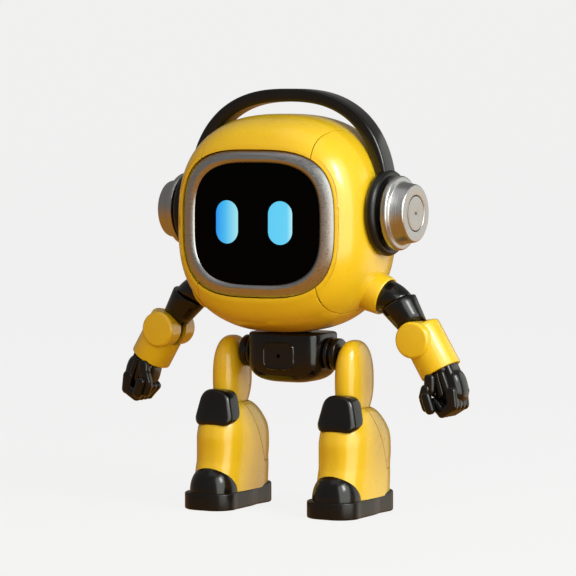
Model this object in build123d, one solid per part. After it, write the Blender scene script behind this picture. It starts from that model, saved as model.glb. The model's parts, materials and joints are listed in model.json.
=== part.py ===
"""Desk robot on two jointed legs, with a big rounded head, a screen face, a headband and two arms.

Millimetres. +Z is up, the robot faces -Y and its own left is +X.
The pieces are drawn with the ground at z = GROUND_Z and moved down to z = 0 when they are written,
so the written origin is on the ground under the middle of the bounding box.
Paired pieces are modelled on the left (+X) side and mirrored for the right.
"""
import math
import os

from build123d import *

os.makedirs("parts", exist_ok=True)

# ---------------------------------------------------------------- driving dimensions
GROUND_Z = 2.1
BAND_TOP_Z = 200.0

# head block
HEAD_Y = -6.25
HEAD_Z = 137.3
HEAD_HALF = (50.0, 44.0, 51.0)
HEAD_ROUND = 38.0
WALL = 2.4
SEAM = 0.35
SEAM_X = 30.4
SEAM_LEAN = 0.113
BACK_COVER_HALF_HEIGHT = 21.0

# face window
FACE_Y = -37.75
FACE_BOW = 250.0
FACE_POWER = 3.15
BEZEL_HALF = (41.0, 34.5)
WINDOW_HALF = (35.0, 29.8)
BEZEL_PROUD = 1.2
LENS_RECESS = 0.9
LENS_BACK_Y = -33.5
BEZEL_BACK_Y = -31.5
EYE_SIZE = (12.7, 20.6)
EYE_X = 14.1
EYE_Z = 138.3

# ears, on one axis along X
EAR_Y = -1.4
EAR_Z = 142.7
CUSHION_RADIUS = 20.0
CUSHION_X = (45.0, 54.4)
EAR_BASE_RADIUS = 15.6
FLANGE_RADIUS = 17.2
FLANGE_X = (55.7, 59.0)
DRUM_RADII = (14.4, 13.3)
DRUM_FACE_X = 65.8
BUTTON_RADIUS = 8.0
BUTTON_TRAVEL = 1.2
BUTTON_GAP = 0.3

# headband
BAND_HALF = (54.0, BAND_TOP_Z - EAR_Z)
BAND_THICKNESS = 5.5
BAND_WIDTH = 11.0
BAND_POWER = 2.5

# neck and pelvis
BODY_Y = 0.4
NECK_RADIUS = 9.0
NECK_BOTTOM_Z = 86.2
PELVIS_HALF_WIDTH = 19.3
PELVIS_HALF_DEPTH = 14.2
PELVIS_Z = (62.1, 85.9)
PANEL_SIZE = (16.8, 13.2)
PANEL_Z = 75.2
SERVO_SIZE = (20.0, 9.0, 14.0)
SERVO_BOTTOM_Z = 66.0

# shoulder and upper arm, in the plane y = ARM_Y
ARM_Y = -0.25
COLLAR_RIM = Vector(51.5, ARM_Y, 103.0)
COLLAR_AXIS = Vector(0.847, 0, -0.53).normalized()
COLLAR_RIM_RADIUS = 9.1
COLLAR_BASE_RADIUS = 10.6
COLLAR_LENGTH = 5.5
TWIST_POINT = Vector(56.5, ARM_Y, 99.6)
TWIST_AXIS = Vector(0.503, 0, -0.863).normalized()
KNUCKLE_RADIUS = 7.6
ARM_TOP_RADIUS = 8.8
ARM_END_RADIUS = 7.2
ARM_END_DISTANCE = 4.6
ELBOW = Vector(68.4, ARM_Y, 85.0)
TONGUE_RADIUS = 7.2
TONGUE_THICKNESS = 4.4

# forearm cuff and hand
DISC_RADIUS = 8.45
DISC_HALF_SPAN = 9.15
CAP_THICKNESS = 2.0
CUFF_TILT = 30.8
CUFF_OFFSET = 1.2
CUFF_RADIUS = 9.8
CUFF_BORE = 8.1
CUFF_SPAN = (-1.0, 17.7)
CUFF_WALL_TOP = -5.4
CUFF_WALL_INNER = 6.2
ELBOW_PIN_RADIUS = 2.5
HAND_TILT = 16.0
WRIST_RADIUS = 7.7
FINGER_WIDTH = 3.8
FINGER_PITCH = 4.1
FINGER_THICKNESS = 5.2

# legs
LEG_X = 33.0
HIP_Z = 76.0
HIP_RADIUS = 7.6
HIP_PIN_RADIUS = 3.5
KNEE_Z = 46.0
KNEE_PIN_RADIUS = 2.0
KNEE_FLEX = 30.0
THIGH_HALF_WIDTH = 6.9
THIGH_CIRCLES = ((0.2, 73.0, 10.1), (0.0, 63.0, 12.3), (0.0, KNEE_Z, 10.4))
SOLE_HEIGHT = 8.0
SOLE_TOP_Z = GROUND_Z + SOLE_HEIGHT
SOLE_FRONT_Y = -29.6
SOLE_BACK_Y = 22.4
BOOT_POWER = 2.7
# each boot section: height, middle y, half width, half length
BOOT_SECTIONS = (
    (SOLE_TOP_Z, -2.4, 11.9, 24.2),
    (17.5, -2.2, 12.0, 23.8),
    (24.0, -0.2, 11.7, 22.0),
    (33.0, 0.3, 12.7, 22.6),
    (42.0, -0.2, 12.0, 20.2),
    (50.0, -1.2, 10.3, 15.0),
)
CALF_SEAM = ((-3.0, 50.0), (10.5, 22.5))

RUNNING_CLEARANCE = 0.05
BODY_GAP = 0.3
UP = Vector(0, 0, 1)


# ---------------------------------------------------------------- helpers
def box(x, y, z):
    """Box from its two limits along each axis."""
    size = (x[1] - x[0], y[1] - y[0], z[1] - z[0])
    middle = ((x[0] + x[1]) / 2, (y[0] + y[1]) / 2, (z[0] + z[1]) / 2)
    return Pos(*middle) * Box(*size)


def rod(start, direction, radius, length, end_radius=None):
    """Cylinder or cone that starts at a point and runs along a direction."""
    place = Plane(origin=start, z_dir=direction)
    align = (Align.CENTER, Align.CENTER, Align.MIN)
    if end_radius is None:
        return place * Cylinder(radius, length, align=align)
    return place * Cone(radius, end_radius, length, align=align)


def rod_x(radius, x, y, z):
    """Cylinder along X between two x limits."""
    return rod(Vector(x[0], y, z), Vector(1, 0, 0), radius, x[1] - x[0])


def rod_y(radius, y, x, z):
    """Cylinder along Y between two y limits."""
    return rod(Vector(x, y[0], z), Vector(0, 1, 0), radius, y[1] - y[0])


def superellipse(half_width, half_height, power, plane, count=32):
    """Closed smooth outline |x/a|^n + |y/b|^n = 1 as a face on a plane."""
    points = []
    for index in range(count):
        angle = 2 * math.pi * index / count
        c, s = math.cos(angle), math.sin(angle)
        x = math.copysign(abs(c) ** (2 / power), c) * half_width
        y = math.copysign(abs(s) ** (2 / power), s) * half_height
        points.append((x, y))
    return plane * make_face(Spline(*points, periodic=True))


def face_prism(half, y, power=FACE_POWER):
    """Superellipse prism through the face, between two y limits."""
    plane = Plane(origin=(0, y[0], HEAD_Z), x_dir=(1, 0, 0), z_dir=(0, 1, 0))
    return extrude(superellipse(half[0], half[1], power, plane), y[1] - y[0])


def face_form(depth):
    """Bowed form of the face: everything behind a cylinder that lies 'depth' under the bezel's front."""
    centre = Vector(0, FACE_Y + FACE_BOW, 0)
    return rod(centre, UP, FACE_BOW - depth, BAND_TOP_Z + 20)


def prism_xz(points, y):
    """Polygon in the XZ plane, extruded between two y limits."""
    outline = make_face(Polyline(*[(p[0], y[0], p[1]) for p in points], close=True))
    return extrude(outline, y[1] - y[0], dir=(0, 1, 0))


def prism_yz(points, x):
    """Polygon in the YZ plane, extruded between two x limits."""
    outline = make_face(Polyline(*[(x[0], p[0], p[1]) for p in points], close=True))
    return extrude(outline, x[1] - x[0], dir=(1, 0, 0))


def bar_xz(start, end, thickness, y):
    """Flat bar with round ends between two points of the XZ plane."""
    run = Vector(end[0] - start[0], 0, end[1] - start[1])
    middle = Vector((start[0] + end[0]) / 2, (y[0] + y[1]) / 2, (start[1] + end[1]) / 2)
    place = Plane(origin=middle, x_dir=run, z_dir=(0, 1, 0))
    bar = place * Box(run.length, thickness, y[1] - y[0])
    for point in (start, end):
        bar += rod_y(thickness / 2, y, point[0], point[1])
    return bar


def export(name, solid):
    """Writes a node, moved down so that the ground is at z = 0."""
    export_step(Pos(0, 0, -GROUND_Z) * solid, f"parts/{name}.step")


def export_pair(name, solid):
    """Writes a left piece and its mirror image."""
    export(f"{name}_left", solid)
    export(f"{name}_right", mirror(solid, about=Plane.YZ))


# ---------------------------------------------------------------- ears and collars
def ear_cushion():
    ring = rod_x(CUSHION_RADIUS, CUSHION_X, EAR_Y, EAR_Z)
    ring = fillet(ring.edges().group_by(Axis.X)[-1], 2.0)
    return ring - rod_x(12.0, CUSHION_X, EAR_Y, EAR_Z)


def ear_base():
    hub = rod_x(12.0, (42.0, CUSHION_X[1]), EAR_Y, EAR_Z)
    hub += rod_x(EAR_BASE_RADIUS, (CUSHION_X[1], FLANGE_X[0]), EAR_Y, EAR_Z)
    return hub - rod_x(5.0, (42.0, FLANGE_X[0]), EAR_Y, EAR_Z)


def ear_drum():
    flange = rod_x(FLANGE_RADIUS, FLANGE_X, EAR_Y, EAR_Z)
    flange = chamfer(flange.edges().group_by(Axis.X)[-1], 0.9)
    drum_start = Vector(FLANGE_X[1], EAR_Y, EAR_Z)
    drum_length = DRUM_FACE_X - FLANGE_X[1]
    drum = flange + rod(drum_start, Vector(1, 0, 0), DRUM_RADII[0], drum_length, DRUM_RADII[1])
    well_x = DRUM_FACE_X - 3.2 - BUTTON_TRAVEL - 0.4
    drum -= rod_x(BUTTON_RADIUS + BUTTON_GAP, (well_x, DRUM_FACE_X), EAR_Y, EAR_Z)
    return drum - rod_x(3.3, (FLANGE_X[0], well_x), EAR_Y, EAR_Z)


def ear_button():
    button = rod_x(BUTTON_RADIUS, (DRUM_FACE_X - 3.2, DRUM_FACE_X), EAR_Y, EAR_Z)
    button = fillet(button.edges().group_by(Axis.X)[-1], 0.3)
    button -= rod_x(0.8, (DRUM_FACE_X - 1.0, DRUM_FACE_X), EAR_Y, EAR_Z)
    return button + rod_x(3.0, (58.0, DRUM_FACE_X - 3.2), EAR_Y, EAR_Z)


def collar_blank():
    """Tapered shoulder collar that passes through the head's wall, before its bore."""
    slope = (COLLAR_BASE_RADIUS - COLLAR_RIM_RADIUS) / COLLAR_LENGTH
    length = 12.0
    start = COLLAR_RIM - COLLAR_AXIS * length
    return rod(start, COLLAR_AXIS, COLLAR_RIM_RADIUS + slope * length, length, COLLAR_RIM_RADIUS)


def shoulder_collar():
    return collar_blank() - rod(COLLAR_RIM - COLLAR_AXIS * 12.0, COLLAR_AXIS, 3.5 + RUNNING_CLEARANCE, 12.0)


# ---------------------------------------------------------------- head shells
def head_block(inset=0.0):
    """Rounded head volume, trimmed in front by the bowed face."""
    size = [2 * (half - inset) for half in HEAD_HALF]
    block = fillet(Box(*size).edges(), HEAD_ROUND - inset)
    return Pos(0, HEAD_Y, HEAD_Z) * block & face_form(BEZEL_PROUD + inset)


def seam_x(z, side_gap):
    """Where the side seam's plane stands at a height, moved sideways by a gap."""
    return SEAM_X - SEAM_LEAN * (z - HEAD_Z) + side_gap


def head_shells():
    """The five shells of the head: left, right, top, bottom and back."""
    shell = head_block() - head_block(WALL)
    shell -= face_prism((BEZEL_HALF[0] + 0.3, BEZEL_HALF[1] + 0.3), (-60.0, -20.0))
    ear_hole = rod_x(CUSHION_RADIUS, (40.0, 56.0), EAR_Y, EAR_Z)
    shell -= ear_hole + mirror(ear_hole, about=Plane.YZ)
    shell -= collar_blank() + mirror(collar_blank(), about=Plane.YZ)
    shell -= rod(Vector(0, BODY_Y, NECK_BOTTOM_Z), UP, NECK_RADIUS, 12.0)
    top_z, bottom_z = HEAD_Z + 60, HEAD_Z - 60
    reach = (HEAD_Y - 60, HEAD_Y + 60)
    gap = SEAM / 2
    side_region = prism_xz(
        [(seam_x(top_z, gap), top_z), (80, top_z), (80, bottom_z), (seam_x(bottom_z, gap), bottom_z)], reach
    )
    middle_region = prism_xz(
        [
            (-seam_x(top_z, -gap), top_z),
            (seam_x(top_z, -gap), top_z),
            (seam_x(bottom_z, -gap), bottom_z),
            (-seam_x(bottom_z, -gap), bottom_z),
        ],
        reach,
    )
    middle = shell & middle_region
    cover_z = (HEAD_Z - BACK_COVER_HALF_HEIGHT, HEAD_Z + BACK_COVER_HALF_HEIGHT)
    wide = (-60, 60)
    return {
        "head_shell_side": shell & side_region,
        "head_shell_top": middle & box(wide, reach, (cover_z[1] + gap, top_z)),
        "head_shell_bottom": middle & box(wide, reach, (bottom_z, cover_z[0] - gap)),
        "head_back_cover": middle & box(wide, (0, 60), (cover_z[0] + gap, cover_z[1] - gap)),
    }


# ---------------------------------------------------------------- face
def pill(clearance, y):
    """One eye: an upright slot with round ends, between two y limits."""
    width, height = EYE_SIZE[0] + 2 * clearance, EYE_SIZE[1] + 2 * clearance
    plane = Plane(origin=(EYE_X, y[0], EYE_Z), x_dir=(0, 0, 1), z_dir=(0, 1, 0))
    return extrude(plane * SlotOverall(height, width), y[1] - y[0])


def face_bezel():
    ring = face_prism(BEZEL_HALF, (-45.0, BEZEL_BACK_Y)) - face_prism(WINDOW_HALF, (-46.0, -30.0))
    return ring & face_form(0.0)


def screen_lens():
    lens = face_prism((WINDOW_HALF[0] - 0.2, WINDOW_HALF[1] - 0.2), (-45.0, LENS_BACK_Y))
    lens = lens & face_form(LENS_RECESS)
    eye_hole = pill(0.05, (-45.0, -30.0))
    return lens - eye_hole - mirror(eye_hole, about=Plane.YZ)


def eye_lights():
    light = pill(0.0, (-45.0, LENS_BACK_Y)) & face_form(LENS_RECESS - 0.05)
    return Compound([light, mirror(light, about=Plane.YZ)])


def display_module():
    return box((-28.0, 28.0), (LENS_BACK_Y + 0.1, -28.4), (HEAD_Z - 23.0, HEAD_Z + 23.0))


# ---------------------------------------------------------------- inside the head
PLATE_Y = (-12.0, -9.0)
PLATE_BOTTOM_Z = 94.0
SHELF_Z = (110.0, 112.0)


def head_frame():
    frame = box((-30.0, 30.0), PLATE_Y, (PLATE_BOTTOM_Z, 172.0))
    frame -= box((20.0, 30.0), PLATE_Y, (PLATE_BOTTOM_Z, 104.0)) + box((-30.0, -20.0), PLATE_Y, (PLATE_BOTTOM_Z, 104.0))
    frame -= box((-16.0, 16.0), PLATE_Y, (124.0, 160.0))
    frame += rod_x(4.9, (-43.0, 43.0), EAR_Y, EAR_Z) - rod_x(3.5, (-43.0, 43.0), EAR_Y, EAR_Z)
    frame += box((-20.0, 20.0), (PLATE_Y[0], 28.0), SHELF_Z)
    frame += rod(Vector(0, BODY_Y, PLATE_BOTTOM_Z), UP, NECK_RADIUS + 2.4, 4.0)
    for x in (-24.0, 24.0):
        frame += box((x - 3.0, x + 3.0), (PLATE_Y[1], EAR_Y - 3.0), (EAR_Z - 3.0, EAR_Z + 3.0))
        for z in (HEAD_Z - 18.0, HEAD_Z + 18.0):
            frame += rod_y(2.0, (-28.4, PLATE_Y[0]), x, z)
    frame -= rod_x(3.5, (-43.0, 43.0), EAR_Y, EAR_Z)
    return frame - rod(Vector(0, BODY_Y, 90.0), UP, NECK_RADIUS, 12.0)


def neck_post():
    post = rod(Vector(0, BODY_Y, NECK_BOTTOM_Z), UP, NECK_RADIUS, 13.0)
    return post - rod(Vector(0, BODY_Y, NECK_BOTTOM_Z), UP, 3.0 + RUNNING_CLEARANCE, 14.0)


def main_board():
    board = box((-19.0, 19.0), (9.0, 10.6), (SHELF_Z[1], 148.0))
    for x in (-14.0, 0.0, 14.0):
        board += box((x - 4.0, x + 4.0), (7.4, 9.0), (118.0, 126.0))
    return board


def battery_pack():
    cell_radius = 6.1
    pack = None
    for x in (-12.0, 0.0, 12.0):
        cell = rod(Vector(x, 19.0, SHELF_Z[1]), UP, cell_radius, 34.0)
        pack = cell if pack is None else pack + cell
    return pack + box((-12.0, 12.0), (14.0, 19.0), (SHELF_Z[1], 144.0))


def speaker():
    return rod_y(9.5, (PLATE_Y[0] - 6.0, PLATE_Y[0]), 0, 111.0) + rod_y(5.0, (-21.0, -17.0), 0, 111.0)


def headband():
    plane = Plane(origin=(0, EAR_Y - BAND_WIDTH / 2, EAR_Z), x_dir=(1, 0, 0), z_dir=(0, 1, 0))
    outer = superellipse(BAND_HALF[0], BAND_HALF[1], BAND_POWER, plane)
    inner_half = (BAND_HALF[0] - BAND_THICKNESS, BAND_HALF[1] - BAND_THICKNESS)
    inner = superellipse(inner_half[0], inner_half[1], BAND_POWER, plane)
    band = extrude(outer, BAND_WIDTH) - extrude(inner, BAND_WIDTH)
    band = band & box((-60, 60), (-30, 30), (EAR_Z + 12.0, BAND_TOP_Z + 1))
    cushion = rod_x(CUSHION_RADIUS, (40.0, 60.0), EAR_Y, EAR_Z)
    return band - cushion - mirror(cushion, about=Plane.YZ) - head_block()


# ---------------------------------------------------------------- arms
def shoulder_knuckle():
    """Wedge-shaped black dome between the collar's rim and the upper arm, with a shaft into each."""
    rim = Plane(origin=COLLAR_RIM + COLLAR_AXIS * BODY_GAP, z_dir=COLLAR_AXIS)
    twist = Plane(origin=TWIST_POINT - TWIST_AXIS * BODY_GAP / 2, z_dir=TWIST_AXIS)
    middle_axis = (COLLAR_AXIS + TWIST_AXIS).normalized()
    middle_point = (COLLAR_RIM + TWIST_POINT) * 0.5 + Vector(0.5, 0, 0.9)
    middle = Plane(origin=middle_point, z_dir=middle_axis)
    dome = loft(
        [rim * Circle(COLLAR_RIM_RADIUS - 0.5), middle * Circle(8.6), twist * Circle(KNUCKLE_RADIUS)]
    )
    dome += rod(rim.origin, -COLLAR_AXIS, 3.5, 10.0)
    return dome + rod(twist.origin - TWIST_AXIS, TWIST_AXIS, 3.0, 6.5)


def arm_axis():
    return (ELBOW - TWIST_POINT).normalized()


def upper_arm():
    axis = arm_axis()
    reach = (ELBOW - TWIST_POINT).length
    back = 6.0
    cone_length = reach - ARM_END_DISTANCE + back
    slope = (ARM_TOP_RADIUS - ARM_END_RADIUS) / (cone_length - back)
    start = TWIST_POINT - axis * back
    arm = rod(start, axis, ARM_TOP_RADIUS + slope * back, cone_length, ARM_END_RADIUS)
    cutter = rod(TWIST_POINT + TWIST_AXIS * BODY_GAP / 2, -TWIST_AXIS, 40.0, 40.0)
    arm -= cutter
    arm -= rod_y(DISC_RADIUS + BODY_GAP, (ARM_Y - 20.0, ARM_Y + 20.0), ELBOW.X, ELBOW.Z)
    tongue_y = (ARM_Y - TONGUE_THICKNESS / 2, ARM_Y + TONGUE_THICKNESS / 2)
    web_start = TWIST_POINT + axis * (reach - DISC_RADIUS - 2.5)
    arm += bar_xz((web_start.X, web_start.Z), (ELBOW.X, ELBOW.Z), 11.0, tongue_y) & rod(
        web_start, axis, 30.0, 30.0
    )
    arm += rod_y(TONGUE_RADIUS, tongue_y, ELBOW.X, ELBOW.Z)
    arm -= rod_y(ELBOW_PIN_RADIUS + RUNNING_CLEARANCE, tongue_y, ELBOW.X, ELBOW.Z)
    return arm - rod(TWIST_POINT - TWIST_AXIS, TWIST_AXIS, 3.0 + RUNNING_CLEARANCE, 6.8)


def cuff_axis():
    tilt = math.radians(CUFF_TILT)
    return Vector(math.sin(tilt), 0, -math.cos(tilt))


def cuff_side():
    """Direction across the cuff, pointing outward."""
    tilt = math.radians(CUFF_TILT)
    return Vector(math.cos(tilt), 0, math.sin(tilt))


def cuff_point(along):
    return ELBOW + cuff_side() * CUFF_OFFSET + cuff_axis() * along


def forearm():
    axis = cuff_axis()
    tube = rod(cuff_point(CUFF_WALL_TOP), axis, CUFF_RADIUS, CUFF_SPAN[1] - CUFF_WALL_TOP)
    across = Plane(origin=ELBOW, x_dir=cuff_side(), z_dir=(0, 1, 0))
    tube -= across * Pos(-20.0, CUFF_SPAN[0] - 10.0, 0) * Box(40.0, 20.0, 30.0)
    turn_relief = rod_y(DISC_RADIUS + 0.9, (ARM_Y - 12.0, ARM_Y + 12.0), ELBOW.X, ELBOW.Z)
    tube -= turn_relief & (across * Pos(-20.0, 0, 0) * Box(40.0, 9.0, 30.0))
    disc_y = (ARM_Y - DISC_HALF_SPAN, ARM_Y + DISC_HALF_SPAN)
    arm = tube + rod_y(DISC_RADIUS, disc_y, ELBOW.X, ELBOW.Z)
    arm -= rod(cuff_point(9.5), axis, CUFF_BORE, 12.0)
    slot_half = TONGUE_THICKNESS / 2 + BODY_GAP
    slot_y = (ARM_Y - slot_half, ARM_Y + slot_half)
    arm -= rod_y(TONGUE_RADIUS + 0.4, slot_y, ELBOW.X, ELBOW.Z)
    opening_depth = 16.0
    opening_width = 22.0
    opening_place = Pos(CUFF_WALL_INNER - opening_width / 2, 0.8 - opening_depth / 2, 0)
    arm -= across * opening_place * Box(opening_width, opening_depth, 2 * slot_half)
    arm -= rod_y(ELBOW_PIN_RADIUS, disc_y, ELBOW.X, ELBOW.Z)
    arm -= rod_y(DISC_RADIUS, (disc_y[0] - CAP_THICKNESS, disc_y[0]), ELBOW.X, ELBOW.Z)
    return arm - rod_y(DISC_RADIUS, (disc_y[1], disc_y[1] + CAP_THICKNESS), ELBOW.X, ELBOW.Z)


def elbow_cap():
    front = ARM_Y - DISC_HALF_SPAN
    cap = rod_y(DISC_RADIUS, (front - CAP_THICKNESS, front), ELBOW.X, ELBOW.Z)
    return fillet(cap.edges().group_by(Axis.Y)[0], 0.6)


def elbow_pin():
    """Pin through the elbow, with a round head as large as the cap on the rear side."""
    rear = ARM_Y + DISC_HALF_SPAN
    head = rod_y(DISC_RADIUS, (rear, rear + CAP_THICKNESS), ELBOW.X, ELBOW.Z)
    head = fillet(head.edges().group_by(Axis.Y)[-1], 0.6)
    return head + rod_y(ELBOW_PIN_RADIUS, (ARM_Y - DISC_HALF_SPAN, rear), ELBOW.X, ELBOW.Z)


def hand_place():
    """Hand frame: x outward, y forward-back, z up the wrist, origin in the cuff's mouth."""
    tilt = math.radians(HAND_TILT)
    x_dir = Vector(math.cos(tilt), 0, math.sin(tilt))
    return Plane(origin=cuff_point(CUFF_SPAN[1] + 0.2), x_dir=x_dir, z_dir=(-math.sin(tilt), 0, math.cos(tilt)))


# curled finger, in the hand frame: knuckle, first joint, second joint, tip
FINGER_PATH = ((7.6, -11.5), (6.6, -17.2), (-0.8, -18.2), (-3.6, -12.6))


def fingers():
    """Four curled fingers side by side and a thumb across the front, each its own solid."""
    solids = []
    for index in range(4):
        y = (index - 1.5) * FINGER_PITCH
        span = (y - FINGER_WIDTH / 2, y + FINGER_WIDTH / 2)
        finger = None
        for start, end in zip(FINGER_PATH, FINGER_PATH[1:]):
            link = bar_xz(start, end, FINGER_THICKNESS, span)
            finger = link if finger is None else finger + link
        solids.append(finger)
    thumb_y = (-14.2, -10.0)
    thumb = bar_xz((-4.6, -5.0), (-7.6, -10.0), 5.6, thumb_y) + bar_xz((-7.6, -10.0), (-6.4, -15.6), 5.0, thumb_y)
    solids.append(thumb)
    return Compound([hand_place().location * solid for solid in solids])


def palm():
    block = box((-6.4, 10.2), (-8.1, 8.1), (-11.8, 0.0))
    block = fillet(block.edges().filter_by(Axis.Z), 3.0)
    block += box((-8.4, -2.4), (-12.6, -4.0), (-7.6, -2.4))
    block = hand_place().location * block
    stub = rod(cuff_point(10.2), cuff_axis(), WRIST_RADIUS, CUFF_SPAN[1] - 10.2 + 1.6)
    block += stub
    block -= rod(cuff_point(CUFF_SPAN[1] - 6.0), cuff_axis(), 30.0, 6.0 + BODY_GAP) - rod(
        cuff_point(CUFF_SPAN[1] - 6.0), cuff_axis(), WRIST_RADIUS, 6.0 + BODY_GAP
    )
    for finger in fingers().solids():
        block -= finger
    return block


# ---------------------------------------------------------------- pelvis
def pelvis_housing():
    y = (BODY_Y - PELVIS_HALF_DEPTH, BODY_Y + PELVIS_HALF_DEPTH)
    housing = box((-PELVIS_HALF_WIDTH, PELVIS_HALF_WIDTH), y, PELVIS_Z)
    housing = fillet(housing.edges().filter_by(Axis.Z), 7.0)
    housing = fillet(housing.edges().group_by(Axis.Z)[0], 6.5)
    housing -= box((-10.3, 10.3), (BODY_Y - 4.8, BODY_Y + 4.8), (SERVO_BOTTOM_Z, 81.0))
    housing -= rod(Vector(0, BODY_Y, 80.0), UP, 3.4, 8.0)
    hip_bore = rod_x(5.0, (13.0, 20.0), BODY_Y, HIP_Z)
    housing -= hip_bore + mirror(hip_bore, about=Plane.YZ)
    return housing - panel_blank(1.2)


def panel_blank(depth):
    """Rounded square of the front panel, from its front face back into the housing."""
    front = BODY_Y - PELVIS_HALF_DEPTH
    plane = Plane(origin=(0, front + depth, PANEL_Z), x_dir=(1, 0, 0), z_dir=(0, -1, 0))
    return extrude(plane * RectangleRounded(PANEL_SIZE[0], PANEL_SIZE[1], 3.4), depth + 0.5)


def pelvis_panel():
    panel = panel_blank(1.2)
    return panel - rod_y(0.7, (BODY_Y - PELVIS_HALF_DEPTH - 1.0, BODY_Y - PELVIS_HALF_DEPTH + 1.0), 0, PANEL_Z)


def waist_servo():
    x = (-SERVO_SIZE[0] / 2, SERVO_SIZE[0] / 2)
    y = (BODY_Y - SERVO_SIZE[1] / 2, BODY_Y + SERVO_SIZE[1] / 2)
    servo = box(x, y, (SERVO_BOTTOM_Z, SERVO_BOTTOM_Z + SERVO_SIZE[2]))
    return servo + rod(Vector(0, BODY_Y, SERVO_BOTTOM_Z + SERVO_SIZE[2]), UP, 3.0, 16.0)


def hip_shaft():
    inner_x = LEG_X - THIGH_HALF_WIDTH
    shaft = rod_x(5.0, (13.0, PELVIS_HALF_WIDTH), BODY_Y, HIP_Z)
    shaft += rod_x(HIP_RADIUS, (PELVIS_HALF_WIDTH, inner_x - 0.4), BODY_Y, HIP_Z)
    for x in (20.7, 23.6):
        shaft -= rod_x(HIP_RADIUS, (x, x + 0.6), BODY_Y, HIP_Z) - rod_x(HIP_RADIUS - 0.7, (x, x + 0.6), BODY_Y, HIP_Z)
    return shaft + rod_x(HIP_PIN_RADIUS, (inner_x - 0.4, LEG_X + 3.0), BODY_Y, HIP_Z)


# ---------------------------------------------------------------- legs
def thigh_outline(growth):
    """Egg-like side outline of the thigh: the hull of three circles on the YZ plane."""
    rings = [CenterArc((y, z), radius + growth, 0, 360) for y, z, radius in THIGH_CIRCLES]
    outline = make_hull(rings)
    return Plane(origin=(0, 0, 0), x_dir=(0, 1, 0), z_dir=(1, 0, 0)) * outline


def thigh_blank():
    body = Pos(LEG_X - THIGH_HALF_WIDTH, 0, 0) * extrude(thigh_outline(0.0), 2 * THIGH_HALF_WIDTH)
    return fillet(body.edges().filter_by(lambda edge: abs(edge.center().X - LEG_X) > 1), 4.6)


def thigh_halves():
    """Inner and outer half of the thigh, split on a seam plane, bored for hip and knee."""
    body = thigh_blank()
    body -= rod_x(HIP_PIN_RADIUS + RUNNING_CLEARANCE, (20.0, LEG_X + 3.3), BODY_Y, HIP_Z)
    body -= rod_x(KNEE_PIN_RADIUS + RUNNING_CLEARANCE, (20.0, 46.0), 0, KNEE_Z)
    seam = LEG_X + 1.6
    inner = body & box((20, seam - 0.1), (-30, 30), (20, 100))
    outer = body & box((seam + 0.1, 46), (-30, 30), (20, 100))
    return inner, outer


def knee_sweep():
    """Room that the thigh's lower end takes in the boot over the knee's whole range."""
    half = THIGH_HALF_WIDTH + 0.4
    blank = Pos(LEG_X - half, 0, 0) * extrude(thigh_outline(0.4), 2 * half)
    knee = Axis((LEG_X, 0, KNEE_Z), (1, 0, 0))
    room = blank
    for step in (1, 2, 3):
        room += blank.rotate(knee, -KNEE_FLEX * step / 3)
    return room


def boot_blank():
    sections = []
    for z, y, half_width, half_length in BOOT_SECTIONS:
        plane = Plane(origin=(LEG_X, y, z))
        sections.append(superellipse(half_width, half_length, BOOT_POWER, plane, 24))
    tower = box((LEG_X - 9.2, LEG_X + 9.2), (-16.6, -12.9), (40.0, 56.6))
    tower = fillet(tower.edges().filter_by(Axis.Y).group_by(Axis.Z)[-1], 5.0)
    return loft(sections) + tower


def knee_pad():
    """Shield on the front of the knee: a rounded trapezoid bowed about the leg."""
    corners = [(LEG_X + x, -12.9, z) for x, z in ((-10.2, 41.4), (10.2, 41.4), (7.0, 58.2), (-7.0, 58.2))]
    outline = make_face(Polyline(*corners, close=True))
    outline = fillet(outline.vertices(), 3.4)
    shield = extrude(outline, 17.0, dir=(0, -1, 0))
    return shield & rod(Vector(LEG_X, -4.6, 30.0), Vector(0, 0.13, 1), 16.4, 40.0)


def toe_cap():
    """Dome over the toes, standing on the sole."""
    dome = Pos(LEG_X, -17.5, SOLE_TOP_Z) * scale(Sphere(1.0), by=(10.4, 11.6, 13.2))
    return dome & box((0, 60), (-60, 60), (SOLE_TOP_Z, 60))


def calf_region():
    """Everything behind the slanted seam and above the heel."""
    (top_y, top_z), (low_y, low_z) = CALF_SEAM
    lean = (low_y - top_y) / (top_z - low_z)
    return prism_yz([(top_y - lean * 8, top_z + 8), (low_y, low_z), (40, low_z), (40, top_z + 8)], (10, 60))


def boot_parts():
    """Boot shell, calf cover, knee pad and toe cap, each cut clear of its neighbours."""
    cap, pad = toe_cap(), knee_pad()
    pin_bore = rod_x(KNEE_PIN_RADIUS, (23.5, 42.5), 0, KNEE_Z)
    whole = boot_blank() - knee_sweep() - pin_bore
    calf = whole & (Pos(0, 0.15, 0.15) * calf_region())
    boot = whole - calf_region() - cap - pad
    boot -= box((LEG_X - 6.0, LEG_X + 6.0), (-12.0, 14.0), (SOLE_TOP_Z, 21.0))
    return boot, calf, pad - knee_sweep(), cap


def sole():
    plane = Plane(origin=(LEG_X, 0, GROUND_Z))
    outline = plane * make_face(
        Polyline((-13, SOLE_FRONT_Y), (13, SOLE_FRONT_Y), (13, -6), (11.6, SOLE_BACK_Y), (-11.6, SOLE_BACK_Y), (-13, -6), close=True)
    )
    plate = extrude(outline, SOLE_HEIGHT)
    corners = plate.edges().filter_by(Axis.Z)
    plate = fillet(corners.group_by(Axis.Y)[0], 10.0)
    plate = fillet(plate.edges().filter_by(Axis.Z).group_by(Axis.Y)[-1], 9.0)
    return fillet(plate.edges().group_by(Axis.Z)[0], 1.2)


def knee_pin():
    return rod_x(KNEE_PIN_RADIUS, (23.5, 42.5), 0, KNEE_Z)


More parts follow.
